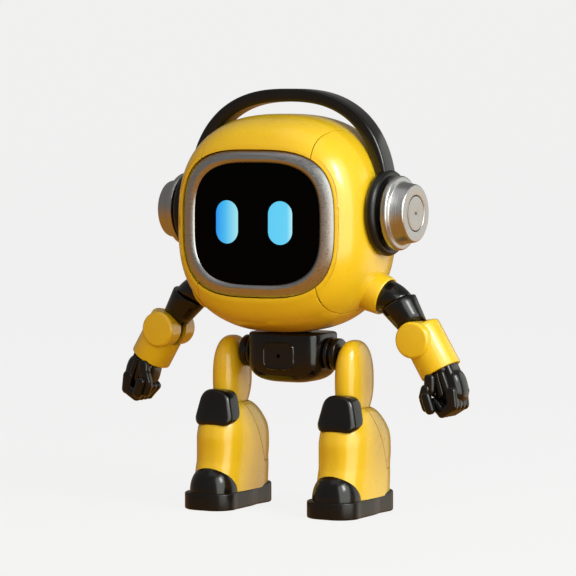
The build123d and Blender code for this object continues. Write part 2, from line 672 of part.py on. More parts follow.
# ---------------------------------------------------------------- write every node
def main():
    shells = head_shells()
    export_pair("head_shell", shells.pop("head_shell_side"))
    for name, solid in shells.items():
        export(name, solid)
    singles = {
        "face_bezel": face_bezel,
        "screen_lens": screen_lens,
        "eye_lights": eye_lights,
        "display_module": display_module,
        "head_frame": head_frame,
        "neck_post": neck_post,
        "main_board": main_board,
        "battery_pack": battery_pack,
        "speaker": speaker,
        "headband": headband,
        "pelvis_housing": pelvis_housing,
        "pelvis_panel": pelvis_panel,
        "waist_servo": waist_servo,
    }
    for name, make in singles.items():
        export(name, make())
    pairs = {
        "ear_cushion": ear_cushion,
        "ear_base": ear_base,
        "ear_drum": ear_drum,
        "ear_button": ear_button,
        "shoulder_collar": shoulder_collar,
        "shoulder_knuckle": shoulder_knuckle,
        "upper_arm": upper_arm,
        "forearm": forearm,
        "elbow_cap": elbow_cap,
        "elbow_pin": elbow_pin,
        "palm": palm,
        "fingers": fingers,
        "hip_shaft": hip_shaft,
        "knee_pin": knee_pin,
        "sole": sole,
    }
    for name, make in pairs.items():
        export_pair(name, make())
    inner, outer = thigh_halves()
    export_pair("thigh_inner", inner)
    export_pair("thigh_outer", outer)
    for name, solid in zip(("boot", "calf_cover", "knee_pad", "toe_cap"), boot_parts()):
        export_pair(name, solid)


main()
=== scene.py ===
"""Looks of the legged desk robot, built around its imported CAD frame. Sizes are in millimetres here."""

import json
from math import copysign, cos, exp, pi, radians, sin, tan

import bmesh
import bpy
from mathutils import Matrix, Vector

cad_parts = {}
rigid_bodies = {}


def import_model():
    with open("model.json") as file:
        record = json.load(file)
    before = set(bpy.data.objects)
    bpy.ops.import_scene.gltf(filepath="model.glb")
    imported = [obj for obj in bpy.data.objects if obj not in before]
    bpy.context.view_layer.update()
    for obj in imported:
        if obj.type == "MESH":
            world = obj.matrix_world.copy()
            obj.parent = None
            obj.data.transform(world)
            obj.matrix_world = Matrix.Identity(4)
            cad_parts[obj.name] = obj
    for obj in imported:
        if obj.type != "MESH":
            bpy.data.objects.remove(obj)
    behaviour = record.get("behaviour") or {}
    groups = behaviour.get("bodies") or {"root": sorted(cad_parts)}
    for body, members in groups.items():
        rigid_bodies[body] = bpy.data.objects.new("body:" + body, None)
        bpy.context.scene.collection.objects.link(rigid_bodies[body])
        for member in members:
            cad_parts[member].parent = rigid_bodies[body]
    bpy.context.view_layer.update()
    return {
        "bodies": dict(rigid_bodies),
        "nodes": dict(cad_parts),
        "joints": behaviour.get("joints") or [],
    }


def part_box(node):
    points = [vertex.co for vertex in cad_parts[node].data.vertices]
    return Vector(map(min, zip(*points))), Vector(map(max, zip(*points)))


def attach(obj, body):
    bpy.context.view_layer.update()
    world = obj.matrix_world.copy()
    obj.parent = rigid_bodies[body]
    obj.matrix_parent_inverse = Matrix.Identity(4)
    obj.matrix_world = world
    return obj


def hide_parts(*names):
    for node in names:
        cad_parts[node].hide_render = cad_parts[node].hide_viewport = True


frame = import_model()

MM = 0.001
X_AXIS, Y_AXIS, Z_AXIS = Vector((1, 0, 0)), Vector((0, 1, 0)), Vector((0, 0, 1))


# ---- sizes read from the frame
def node_box(node):
    """Lowest and highest corner of a CAD node, in millimetres."""
    low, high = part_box(node)
    return low / MM, high / MM


def node_middle(node):
    low, high = node_box(node)
    return (low + high) / 2


def joint_point(name):
    """A joint's place at rest, in millimetres, and its axis."""
    joint = next(j for j in frame["joints"] if j["name"] == name)
    return Vector(joint.get("pos_m", (0, 0, 0))) / MM, Vector(joint["axis"]).normalized()


BEZEL_LOW, BEZEL_HIGH = node_box("face_bezel")
HEAD_TOP = node_box("head_shell_top")[1].z
HEAD_BOTTOM = node_box("head_shell_bottom")[0].z
HEAD_BACK = node_box("head_back_cover")[1].y
HEAD_HALF_X, HEAD_HALF_Y = 50.0, 44.0
HEAD_HALF_Z = (HEAD_TOP - HEAD_BOTTOM) / 2
HEAD = Vector((0, HEAD_BACK - HEAD_HALF_Y, (HEAD_TOP + HEAD_BOTTOM) / 2))
HEAD_POWER = 2.55
# the side seams: where they cross the front, how they lean and spread; and the back cover's half height
SEAM_X, SEAM_LEAN, SEAM_SPREAD, SEAM_GAP = 30.4, 0.04, 0.17, 0.36
BACK_COVER_HALF = 21.0
# the bowed face: its front and middle, the radius of its bow, and how far behind it the shells end
FACE_Y = BEZEL_LOW.y
FACE_Z = (BEZEL_HIGH.z + BEZEL_LOW.z) / 2 + 0.5
FACE_BOW, FACE_POWER, SHELL_DEPTH = 250.0, 3.15, 1.2
# half width and half height of the bezel and the lens, and how deep the lens's middle and edge lie
BEZEL_HALF = (BEZEL_HIGH.x - 0.8, (BEZEL_HIGH.z - BEZEL_LOW.z) / 2 - 0.6)
LENS_HALF = (33.4, 28.4)
LENS_FRONT, LENS_FALL = 0.4, 1.0

EAR = node_middle("ear_cushion_left")
EAR_FACE_X = node_box("ear_button_left")[1].x
LEG_X = node_middle("sole_left").x
SOLE_LOW, SOLE_HIGH = node_box("sole_left")

# left arm
SHOULDER, _ = joint_point("shoulder_left_swing")
TWIST, TWIST_AXIS = joint_point("upper_arm_left_twist")
TWIST_SIDE = Vector((TWIST_AXIS.z, 0, -TWIST_AXIS.x))
ELBOW, _ = joint_point("elbow_left")
WRIST, CUFF_AXIS = joint_point("wrist_left")
ARM_TOP = TWIST - TWIST_AXIS * 1.8 - TWIST_SIDE * 0.5

# left hand: directions of its frame, and the joints of a curled finger as (x, z) in that frame
HAND_TILT = radians(16.0)
HAND_OUT = Vector((cos(HAND_TILT), 0, sin(HAND_TILT)))
HAND_UP = Vector((-sin(HAND_TILT), 0, cos(HAND_TILT)))
FINGER_PATH = ((5.6, -10.6), (4.6, -16.6), (-1.2, -18.3), (-4.0, -13.2))

# left leg
THIGH = Vector((LEG_X, 0.0, 61.4))
THIGH_HALF = (7.1, 12.7, 19.6)
THIGH_SEAM_Y = 5.4
CALF_TOP, CALF_LOW = Vector((0, -3.0, 47.9)), Vector((0, 10.5, 20.4))
# each boot level: height, middle y, half width, half length, section power
BOOT_LEVELS = (
    (8.0, -1.0, 12.2, 23.6, 2.8),
    (12.0, -0.9, 12.3, 23.6, 2.8),
    (16.0, -0.4, 12.3, 23.3, 2.8),
    (19.5, 0.0, 12.3, 23.0, 2.75),
    (22.0, 0.3, 12.35, 22.6, 2.7),
    (24.5, 0.5, 12.5, 22.5, 2.7),
    (28.0, 0.7, 12.7, 22.6, 2.65),
    (32.5, 0.6, 12.8, 22.6, 2.6),
    (37.0, 0.5, 12.6, 21.6, 2.6),
    (42.0, -0.2, 11.6, 18.8, 2.6),
    (45.5, -0.8, 10.5, 15.7, 2.6),
    (48.0, -1.4, 9.3, 12.8, 2.6),
    (49.2, -1.6, 7.8, 10.9, 2.6),
)

# each light: name, azimuth, elevation, distance and size in metres, watts, colour
LIGHTS = (
    ("softbox", 72, 18, 0.95, (1.1, 1.2), 9.6, (0.96, 1.0, 0.93)),
    ("core", 74, 33, 0.9, (0.22, 0.34), 3.2, (1, 1, 1)),
    ("rim", 148, 2, 1.0, (0.8, 0.9), 1.7, (0.95, 1.0, 0.93)),
    ("above", 10, 78, 1.0, (0.8, 0.8), 0.8, (1, 1, 1)),
    ("fill", 2, 28, 1.1, (0.9, 0.9), 5.0, (1.0, 0.82, 0.6)),
)


# ---- mesh helpers
def add_object(name, data):
    """Object in the scene for a mesh, a light or a camera."""
    obj = bpy.data.objects.new(name, data)
    bpy.context.scene.collection.objects.link(obj)
    return obj


def new_object(name, points, faces, sharp=38.0):
    """Mesh object from points in millimetres, shaded smooth with edges over an angle kept sharp."""
    mesh = bpy.data.meshes.new(name)
    mesh.from_pydata([tuple(float(c) * MM for c in p) for p in points], [], faces)
    mesh.validate()
    mesh.update()
    return resharpen(add_object(name, mesh), sharp)


def skin(name, rows, cap_start=True, cap_end=True, sharp=38.0):
    """Closed tube through rows of points. A row of one point is a pole."""
    points, starts = [], []
    for row in rows:
        starts.append(len(points))
        points.extend(row)
    faces = []
    for index in range(len(rows) - 1):
        a, b = starts[index], starts[index + 1]
        na, nb = len(rows[index]), len(rows[index + 1])
        for k in range(max(na, nb)):
            k2 = (k + 1) % max(na, nb)
            if na == 1:
                faces.append((a, b + k2, b + k))
            elif nb == 1:
                faces.append((a + k, a + k2, b))
            else:
                faces.append((a + k, a + k2, b + k2, b + k))
    if cap_start and len(rows[0]) > 1:
        faces.append(tuple(range(len(rows[0])))[::-1])
    if cap_end and len(rows[-1]) > 1:
        faces.append(tuple(range(starts[-1], starts[-1] + len(rows[-1]))))
    obj = new_object(name, points, faces, sharp)
    fix_normals(obj)
    return obj


def fix_normals(obj):
    """Turns every face of the mesh outward."""
    work = bmesh.new()
    work.from_mesh(obj.data)
    bmesh.ops.recalc_face_normals(work, faces=work.faces)
    work.to_mesh(obj.data)
    work.free()


def across(axis):
    """Two directions square to an axis."""
    helper = Y_AXIS if abs(axis.y) < 0.9 else X_AXIS
    side = axis.cross(helper).normalized()
    return side, axis.cross(side).normalized()


def circle(centre, axis, radius, count=96):
    """Row of points round an axis, or one point where the radius is zero."""
    if radius == 0:
        return [centre]
    side, other = across(axis)
    angles = [2 * pi * k / count for k in range(count)]
    return [centre + side * (radius * cos(a)) + other * (radius * sin(a)) for a in angles]


def lathe(name, origin, axis, profile, count=96, **options):
    """Turned piece: profile is a list of (distance along the axis, radius)."""
    axis = axis.normalized()
    rows = [circle(origin + axis * along, axis, radius, count) for along, radius in profile]
    return skin(name, rows, **options)


def superellipse(angle, half_a, half_b, power):
    """Point of |a|^n + |b|^n = 1 in a direction, evenly spread by angle."""
    c, s = cos(angle), sin(angle)
    radius = (abs(c / half_a) ** power + abs(s / half_b) ** power) ** (-1 / power)
    return radius * c, radius * s


def outline(half_a, half_b, power, count):
    """Closed superellipse outline as (a, b) pairs."""
    return [superellipse(2 * pi * k / count, half_a, half_b, power) for k in range(count)]


def egg_rows(half, power, section_power, levels, columns, start=-90.0, end=90.0):
    """Rows of (x, y, z) on a superellipsoid, from a start to an end latitude in degrees."""
    rows = []
    for level in range(levels + 1):
        lean = radians(start + (end - start) * level / levels)
        share, z = superellipse(lean, 1.0, 1.0, power)
        if abs(cos(lean)) < 1e-9:
            rows.append([(0.0, 0.0, half[2] * z)])
        else:
            ring = outline(half[0] * share, half[1] * share, section_power, columns)
            rows.append([(x, y, half[2] * z) for x, y in ring])
    return rows


def rounded(low, high, radius, steps=5):
    """(position, inset) pairs for a span with both ends rounded over."""
    pairs = []
    for k in range(steps + 1):
        a = pi / 2 * k / steps
        pairs.append((low + radius * (1 - cos(a)), radius * (1 - sin(a))))
    return pairs + [(high - (position - low), inset) for position, inset in reversed(pairs)]


def shell(obj, wall, edge):
    """Gives an open skin its wall thickness, and rounds the edges at its seams."""
    solidify = obj.modifiers.new("wall", "SOLIDIFY")
    solidify.thickness = wall * MM
    solidify.offset = -1
    solidify.use_even_offset = True
    bevel = obj.modifiers.new("edge_round", "BEVEL")
    bevel.width = edge * MM
    bevel.segments = 2
    bevel.limit_method = "ANGLE"
    bevel.angle_limit = radians(50)
    return obj


def resharpen(obj, angle):
    """Shades a mesh smooth, with edges over an angle kept sharp."""
    obj.data.shade_smooth()
    obj.data.set_sharp_from_angle(angle=radians(angle))
    return obj


def boolean(target, tool, operation="DIFFERENCE"):
    """Applies a boolean with another closed mesh and removes the tool."""
    modifier = target.modifiers.new("cutter", "BOOLEAN")
    modifier.object = tool
    modifier.operation = operation
    modifier.solver = "EXACT"
    bpy.context.view_layer.update()
    result = bpy.data.meshes.new_from_object(target.evaluated_get(bpy.context.evaluated_depsgraph_get()))
    target.modifiers.clear()
    target.data = result
    bpy.data.objects.remove(tool)
    return target


def rod(name, centre, axis, half_length, radius, count=96):
    """Plain closed rod, centred on a point."""
    return lathe(name, centre, axis, [(-half_length, radius), (half_length, radius)], count)


def join(name, pieces):
    """Puts several meshes in one object."""
    work = bmesh.new()
    for piece in pieces:
        work.from_mesh(piece.data)
        bpy.data.objects.remove(piece)
    mesh = bpy.data.meshes.new(name)
    work.to_mesh(mesh)
    work.free()
    return add_object(name, mesh)


def copy_of(obj, name):
    """Second object with its own copy of the mesh."""
    copy = obj.copy()
    copy.data = obj.data.copy()
    copy.name = name
    bpy.context.scene.collection.objects.link(copy)
    return copy


def mirrored(obj, name):
    """Mirror image in the YZ plane, with the same modifiers."""
    copy = copy_of(obj, name)
    for vertex in copy.data.vertices:
        vertex.co.x = -vertex.co.x
    copy.data.flip_normals()
    return copy


def cut(obj, point, normal):
    """Removes what lies on the normal's side of a plane, and leaves the cut open."""
    work = bmesh.new()
    work.from_mesh(obj.data)
    bmesh.ops.bisect_plane(
        work, geom=work.verts[:] + work.edges[:] + work.faces[:], dist=1e-7,
        plane_co=point * MM, plane_no=normal, clear_outer=True)
    work.to_mesh(obj.data)
    work.free()
    return obj


def place(piece, body, finish, *nodes):
    """Gives a piece its finish's material and its body, and hides the CAD nodes that it stands for."""
    material, slot = finish
    piece.data.materials.clear()
    piece.data.materials.append(material)
    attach(piece, body)
    if nodes:
        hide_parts(*nodes)


def place_pair(piece, name, body, finish, *nodes):
    """Places a left piece and its mirror image. 'body' and 'nodes' are given without their side."""
    piece.name = f"{name}_left"
    other = mirrored(piece, f"{name}_right")
    for side, obj in (("left", piece), ("right", other)):
        side_body = body if body in frame["bodies"] else f"{body}_{side}"
        place(obj, side_body, finish, *[f"{node}_{side}" for node in nodes])


# ---- materials
def shader(name, base, roughness, **sockets):
    """Principled material. Constant values go on its own sockets."""
    material = bpy.data.materials.new(name)
    material.use_nodes = True
    tree = material.node_tree
    surface = tree.nodes["Principled BSDF"]
    surface.inputs["Base Color"].default_value = (*base, 1)
    surface.inputs["Roughness"].default_value = roughness
    for socket, value in sockets.items():
        surface.inputs[socket.replace("_", " ")].default_value = value
    return material, tree, surface


def add_node(tree, kind, **inputs):
    """Shader node whose inputs are given as values or as other nodes' outputs."""
    node = tree.nodes.new("ShaderNode" + kind)
    for name, value in inputs.items():
        socket = node.inputs[name.replace("_", " ")]
        if isinstance(value, bpy.types.NodeSocket):
            tree.links.new(value, socket)
        else:
            socket.default_value = value
    return node


def noise(tree, scale, detail=3.0, stretch=None):
    """Noise in object space, with its scale in features per metre."""
    source = add_node(tree, "TexCoord").outputs["Object"]
    if stretch:
        source = add_node(tree, "Mapping", Vector=source, Scale=stretch).outputs["Vector"]
    return add_node(tree, "TexNoise", Vector=source, Scale=scale, Detail=detail).outputs["Fac"]


def ramp(tree, source, stops):
    """Colour ramp of (position, colour) stops."""
    node = add_node(tree, "ValToRGB", Fac=source)
    elements = node.color_ramp.elements
    while len(elements) < len(stops):
        elements.new(0.5)
    for element, (position, colour) in zip(elements, stops):
        element.position = position
        element.color = (*colour, 1)
    return node.outputs["Color"]


def vary(tree, surface, socket, source, *stops):
    """Drives a socket of the surface with a source run through a colour ramp."""
    tree.links.new(ramp(tree, source, stops), surface.inputs[socket])


def add_bump(tree, surface, height, strength, distance):
    bump = add_node(tree, "Bump", Height=height, Strength=strength, Distance=distance)
    tree.links.new(bump.outputs["Normal"], surface.inputs["Normal"])


def coordinate(tree, kind, axis):
    """One axis of the object's or the world's coordinates."""
    source = add_node(tree, "TexCoord").outputs[kind]
    return add_node(tree, "SeparateXYZ", Vector=source).outputs[axis]


def unit_span(tree, source, low, high):
    """Maps the span from low to high to 0..1."""
    return add_node(tree, "MapRange", Value=source, From_Min=low, From_Max=high).outputs["Result"]


def vector_math(tree, operation, source, value=(0, 0, 0)):
    """Result of a vector operation on a source and a constant."""
    node = tree.nodes.new("ShaderNodeVectorMath")
    node.operation = operation
    node.inputs[1].default_value = value
    tree.links.new(source, node.inputs[0])
    return node.outputs["Value" if operation == "LENGTH" else "Vector"]


def grey(value):
    return (value, value, value)


def yellow_plastic():
    """Glossy moulded plastic under a clear coat, with a faint drift in tint and gloss."""
    material, tree, surface = shader(
        "yellow_plastic", (0.78, 0.52, 0.012), 0.34, Coat_Weight=0.8, Coat_Roughness=0.17, IOR=1.5,
        Subsurface_Weight=0.06, Subsurface_Scale=0.002)
    deep, light = (0.765, 0.505, 0.010), (0.795, 0.53, 0.014)
    vary(tree, surface, "Base Color", noise(tree, 18, 2), (0.3, deep), (0.7, light))
    vary(tree, surface, "Roughness", noise(tree, 140, 4), (0.35, grey(0.27)), (0.7, grey(0.36)))
    add_bump(tree, surface, noise(tree, 900, 2), 0.012, 0.0002)
    return material


def black_plastic():
    """Satin black plastic with a light grain."""
    material, tree, surface = shader(
        "black_plastic", grey(0.003), 0.22, Coat_Weight=0.25, Coat_Roughness=0.07, IOR=1.46)
    vary(tree, surface, "Roughness", noise(tree, 160, 4), (0.3, grey(0.18)), (0.75, grey(0.26)))
    vary(tree, surface, "Base Color", noise(tree, 60, 3), (0.3, grey(0.002)), (0.7, grey(0.004)))
    add_bump(tree, surface, noise(tree, 1100, 2), 0.03, 0.0002)
    return material


def soft_rubber(name, tone, roughness, grain):
    """Grained rubber, cloudy in tone."""
    material, tree, surface = shader(name, grey(tone), roughness, IOR=1.45)
    vary(tree, surface, "Base Color", noise(tree, 90, 4), (0.3, grey(tone * 0.8)), (0.7, grey(tone * 1.3)))
    add_bump(tree, surface, noise(tree, grain, 4), 0.12, 0.0003)
    return material


def turned_metal():
    """Metal turned on a lathe: fine rings round the ear's axis."""
    material, tree, surface = shader("turned_metal", grey(0.56), 0.3, Metallic=1.0, Anisotropic=0.5)
    place_on_ear = add_node(tree, "TexCoord").outputs["Object"]
    offset = vector_math(tree, "SUBTRACT", place_on_ear, (0, EAR.y * MM, EAR.z * MM))
    radius = vector_math(tree, "LENGTH", vector_math(tree, "MULTIPLY", offset, (0, 1, 1)))
    total = add_node(tree, "Math")
    tree.links.new(radius, total.inputs[0])
    tree.links.new(coordinate(tree, "Object", "X"), total.inputs[1])
    rings = add_node(tree, "TexNoise", Scale=5200, Detail=3)
    rings.noise_dimensions = "1D"
    tree.links.new(total.outputs["Value"], rings.inputs["W"])
    vary(tree, surface, "Roughness", rings.outputs["Fac"], (0.3, grey(0.24)), (0.7, grey(0.40)))
    vary(tree, surface, "Base Color", rings.outputs["Fac"], (0.2, grey(0.50)), (0.8, grey(0.60)))
    add_bump(tree, surface, rings.outputs["Fac"], 0.08, 0.0001)
    return material


def brushed_metal():
    """Satin metal of the face ring, brushed from side to side."""
    material, tree, surface = shader("brushed_metal", grey(0.55), 0.32, Metallic=1.0, Anisotropic=0.4)
    grain = noise(tree, 500, 3, stretch=(0.08, 4, 4))
    vary(tree, surface, "Roughness", grain, (0.3, grey(0.26)), (0.7, grey(0.40)))
    vary(tree, surface, "Base Color", grain, (0.3, grey(0.50)), (0.7, grey(0.60)))
    add_bump(tree, surface, grain, 0.02, 0.0001)
    return material


def screen_glass():
    """Deep black glass with a dull, smudged gloss."""
    material, tree, surface = shader("screen_glass", grey(0.0008), 0.16, IOR=1.2, Specular_IOR_Level=0.15)
    vary(tree, surface, "Roughness", noise(tree, 120, 4), (0.3, grey(0.13)), (0.8, grey(0.2)))
    return material


def eye_glow():
    """Lit panel: one eye runs from deep blue to pale cyan, the other is an even light blue."""
    material, tree, surface = shader("eye_glow", grey(0.01), 0.3)
    across_face = unit_span(tree, coordinate(tree, "Object", "X"), -20.5 * MM, 20.5 * MM)
    deep, blue, pale = (0.012, 0.29, 0.86), (0.05, 0.48, 0.86), (0.33, 0.76, 0.86)
    even, light, rim = (0.085, 0.57, 0.88), (0.12, 0.62, 0.90), (0.40, 0.82, 0.92)
    stops = [(0.01, deep), (0.13, blue), (0.30, pale), (0.5, even), (0.93, light), (0.99, rim)]
    vary(tree, surface, "Emission Color", across_face, *stops)
    surface.inputs["Emission Strength"].default_value = 1.0
    return material


def plain_parts(name, base, roughness, metallic=0.0):
    """Hidden inner parts: moulded or ground surfaces with a slight grain."""
    material, tree, surface = shader(name, base, roughness, Metallic=metallic)
    dark = tuple(c * 0.85 for c in base)
    vary(tree, surface, "Base Color", noise(tree, 200, 4), (0.3, dark), (0.7, base))
    add_bump(tree, surface, noise(tree, 700, 3), 0.08, 0.0002)
    return material


# each finish: its material and its slot
YELLOW = (yellow_plastic(), "yellow_plastic")
BLACK = (black_plastic(), "black_plastic")
CUSHION = (soft_rubber("cushion_rubber", 0.005, 0.32, 700), "cushion_rubber")
SOLE = (soft_rubber("sole_rubber", 0.005, 0.28, 500), "sole_rubber")
TURNED = (turned_metal(), "brushed_metal")
BRUSHED = (brushed_metal(), "brushed_metal")
SCREEN = (screen_glass(), "screen_black")
GLOW = (eye_glow(), "eye_glow")
INNER = plain_parts("inner_plastic", (0.10, 0.10, 0.11), 0.5)
BOARD = plain_parts("board_green", (0.02, 0.15, 0.07), 0.45)
BATTERY = plain_parts("battery_blue", (0.05, 0.12, 0.4), 0.35)
STEEL = plain_parts("pin_steel", (0.55, 0.55, 0.57), 0.3, 1.0)


# ---- head
def face_y(x, depth):
    """Where the bowed face stands at x, a depth under the bezel's front."""
    return FACE_Y + depth + x * x / (2 * FACE_BOW)


def head_point(angle, lean):
    """Point of the head's superellipsoid: angle round the Y axis, lean from front (-90) to back (90)."""
    reach, depth = superellipse(lean, 1.0, 1.0, HEAD_POWER)
    x, z = superellipse(angle, HEAD_HALF_X, HEAD_HALF_Z, HEAD_POWER)
    return Vector((x * reach, HEAD_HALF_Y * depth + HEAD.y, z * reach + HEAD.z))


def front_lean(angle):
    """Lean at which the head's surface meets the bowed face, found by halving."""
    low, high = -pi / 2, 0.0
    halvings = 40
    for _ in range(halvings):
        middle = (low + high) / 2
        point = head_point(angle, middle)
        if point.y < face_y(point.x, SHELL_DEPTH):
            low = middle
        else:
            high = middle
    return high


def head_skin():
    """Open outer surface of the head, from the back pole round to the groove beside the bezel."""
    columns, back_rows, face_rows = 288, 84, 5
    blend_rows, blend_passes = 15, 45
    groove_gap, groove_depths = 0.35, (0.5, 2.6)
    pole = pi / 2
    angles = [2 * pi * k / columns for k in range(columns)]
    leans = [front_lean(a) for a in angles]
    rows = [[head_point(0, pole)]]
    for step in range(1, back_rows + 1):
        rows.append([head_point(a, pole + (lean - pole) * step / back_rows) for a, lean in zip(angles, leans)])
    edge = rows[-1]
    lip = outline(BEZEL_HALF[0] + groove_gap, BEZEL_HALF[1] + groove_gap, FACE_POWER, columns)
    for step in range(1, face_rows + 1):
        row = [outer.lerp(Vector((x, 0, z + FACE_Z)), step / face_rows) for outer, (x, z) in zip(edge, lip)]
        for point in row:
            point.y = face_y(point.x, SHELL_DEPTH)
        rows.append(row)
    for _ in range(blend_passes):
        smooth = {
            k: [p * 0.5 + (q + r) * 0.25 for p, q, r in zip(rows[k], rows[k - 1], rows[k + 1])]
            for k in range(back_rows - blend_rows, back_rows + face_rows - 1)
        }
        for k, row in smooth.items():
            rows[k] = row
    for depth in groove_depths:
        rows.append([Vector((p.x, face_y(p.x, SHELL_DEPTH + depth), p.z)) for p in rows[back_rows + face_rows]])
    return skin("head_skin", rows, cap_end=False, sharp=60)


def head_shells():
    """Splits the head's surface into its five shells, with a thin gap at every seam."""
    whole = head_skin()
    half_gap = SEAM_GAP / 2
    seam_normal = Vector((1, -SEAM_SPREAD, SEAM_LEAN)).normalized()
    other_normal = Vector((-seam_normal.x, seam_normal.y, seam_normal.z))
    at_seam = Vector((SEAM_X, FACE_Y + 4, HEAD.z))
    at_other = Vector((-at_seam.x, at_seam.y, at_seam.z))
    above, below = Vector((0, 0, HEAD.z + BACK_COVER_HALF)), Vector((0, 0, HEAD.z - BACK_COVER_HALF))
    gap = Z_AXIS * half_gap

    side = copy_of(whole, "head_shell_side")
    cut(side, at_seam + seam_normal * half_gap, -seam_normal)
    middle = copy_of(whole, "head_middle")
    cut(middle, at_seam - seam_normal * half_gap, seam_normal)
    cut(middle, at_other - other_normal * half_gap, other_normal)
    top = cut(copy_of(middle, "shell_top"), above + gap, -Z_AXIS)
    bottom = cut(copy_of(middle, "shell_bottom"), below - gap, Z_AXIS)
    back = cut(copy_of(middle, "shell_back"), above - gap, Z_AXIS)
    cut(back, below + gap, -Z_AXIS)
    cut(back, Vector((0, 0, 0)), -Y_AXIS)
    for obj in (whole, middle):
        bpy.data.objects.remove(obj)
    for obj in (side, top, bottom, back):
        shell(obj, 1.8, 0.22)
    place_pair(side, "shell_side", "head", YELLOW, "head_shell")
    place(top, "head", YELLOW, "head_shell_top")
    place(bottom, "head", YELLOW, "head_shell_bottom")
    place(back, "head", YELLOW, "head_back_cover")


def face_rings(name, rings, columns=240, **options):
    """Piece of the face through rings of (half width, half height, depth under the bezel's front)."""
    rows = []
    for half_x, half_z, depth in rings:
        ring = outline(half_x, half_z, FACE_POWER, columns) if half_x else [(0, 0)]
        rows.append([Vector((x, face_y(x, depth), z + FACE_Z)) for x, z in ring])
    return skin(name, rows, **options)


def face_bezel():
    """Satin ring round the screen: a soft outer edge, a sloped face and a step down to the lens."""
    w, h = BEZEL_HALF
    slope_w, slope_h, slope_depth, steps = 4.8, 3.7, 1.9, 8
    rings = [(w, h, 4.0), (w, h, 2.4), (w - 0.12, h - 0.12, 2.1)]
    for k in range(steps + 1):
        share = k / steps
        rings.append((w - 0.4 - slope_w * share, h - 0.4 - slope_h * share, slope_depth * (1 - share) ** 1.6))
    rings += [(w - 5.5, h - 4.35, 0.1), (w - 6.9, h - 5.6, 1.25)]
    rings += [(w - 7.2, h - 5.9, 1.7), (w - 7.2, h - 5.9, 4.0)]
    ring = face_rings("bezel", rings + rings[:1], cap_start=False, cap_end=False, sharp=30)
    place(ring, "head", BRUSHED, "face_bezel")


def lens_depth(x, z):
    """Depth of the lens's gently domed front under the bezel's front."""
    edge = (abs(x / LENS_HALF[0]) ** 3 + abs((z - FACE_Z) / LENS_HALF[1]) ** 3) ** (1 / 3)
    return LENS_FRONT + LENS_FALL * min(edge, 1.0) ** 4


def screen_lens():
    """Black domed lens that fills the bezel's window."""
    back_depth = 4.2
    w, h = LENS_HALF
    shares = (1.0, 0.985, 0.95, 0.9, 0.82, 0.7, 0.55, 0.4, 0.2)
    rings = [(w, h, back_depth)] + [(w * s, h * s, LENS_FRONT + LENS_FALL * s**4) for s in shares]
    lens = face_rings("lens", rings + [(0, 0, LENS_FRONT)], sharp=60)
    place(lens, "head", SCREEN, "screen_lens")


def eye_lights():
    """Two upright pills that stand a hair proud of the lens."""
    low, high = node_box("eye_lights")
    half_w, half_h = 6.1, (high.z - low.z) / 2 - 0.3
    eye_x, eye_z = high.x - 6.35, (low.z + high.z) / 2 + 0.2
    steps = 28
    pill = []
    for end, first_angle in ((1, 0.0), (-1, pi)):
        for k in range(steps + 1):
            a = first_angle + pi * k / steps
            pill.append((half_w * cos(a), end * (half_h - half_w) + half_w * sin(a)))
    share_and_lift = ((1.0, -0.6), (1.0, 0.02), (0.975, 0.12), (0.92, 0.2), (0.6, 0.26))
    eyes = []
    for side in (-1, 1):
        rows = []
        for share, lift in share_and_lift:
            spots = [(side * eye_x + dx * share, eye_z + dz * share) for dx, dz in pill]
            rows.append([Vector((x, face_y(x, lens_depth(x, z) - lift), z)) for x, z in spots])
        eyes.append(skin("eye", rows, sharp=60))
    place(join("eyes", eyes), "head", GLOW, "eye_lights")


def headband():
    """Arched band: a rounded flat bar along a superellipse from ear to ear."""
    low, high = node_box("headband")
    thickness, corner, power = 6.1, 1.5, 2.5
    half_x, half_z = 54.0 - thickness / 2, high.z - EAR.z - thickness / 2
    corner_r, corner_w = thickness / 2 - corner, (high.y - low.y) / 2 - corner
    corner_steps, steps = 6, 120
    section = []
    for r_sign, w_sign, start in ((1, 1, 0), (-1, 1, 90), (-1, -1, 180), (1, -1, 270)):
        for k in range(corner_steps + 1):
            a = radians(start + 90 * k / corner_steps)
            section.append((r_sign * corner_r + corner * cos(a), w_sign * corner_w + corner * sin(a)))
    end_angle = radians(17.0)
    rows = []
    for k in range(steps + 1):
        x, z = superellipse(end_angle + (pi - 2 * end_angle) * k / steps, half_x, half_z, power)
        nx = copysign((abs(x) / half_x) ** (power - 1) / half_x, x)
        nz = (abs(z) / half_z) ** (power - 1) / half_z
        normal = Vector((nx, 0, nz)).normalized()
        centre = Vector((x, (low.y + high.y) / 2, z + EAR.z))
        rows.append([centre + normal * r + Y_AXIS * w for r, w in section])
    band = skin("headband_arch", rows, sharp=50)
    place(band, "head", BLACK, "headband")


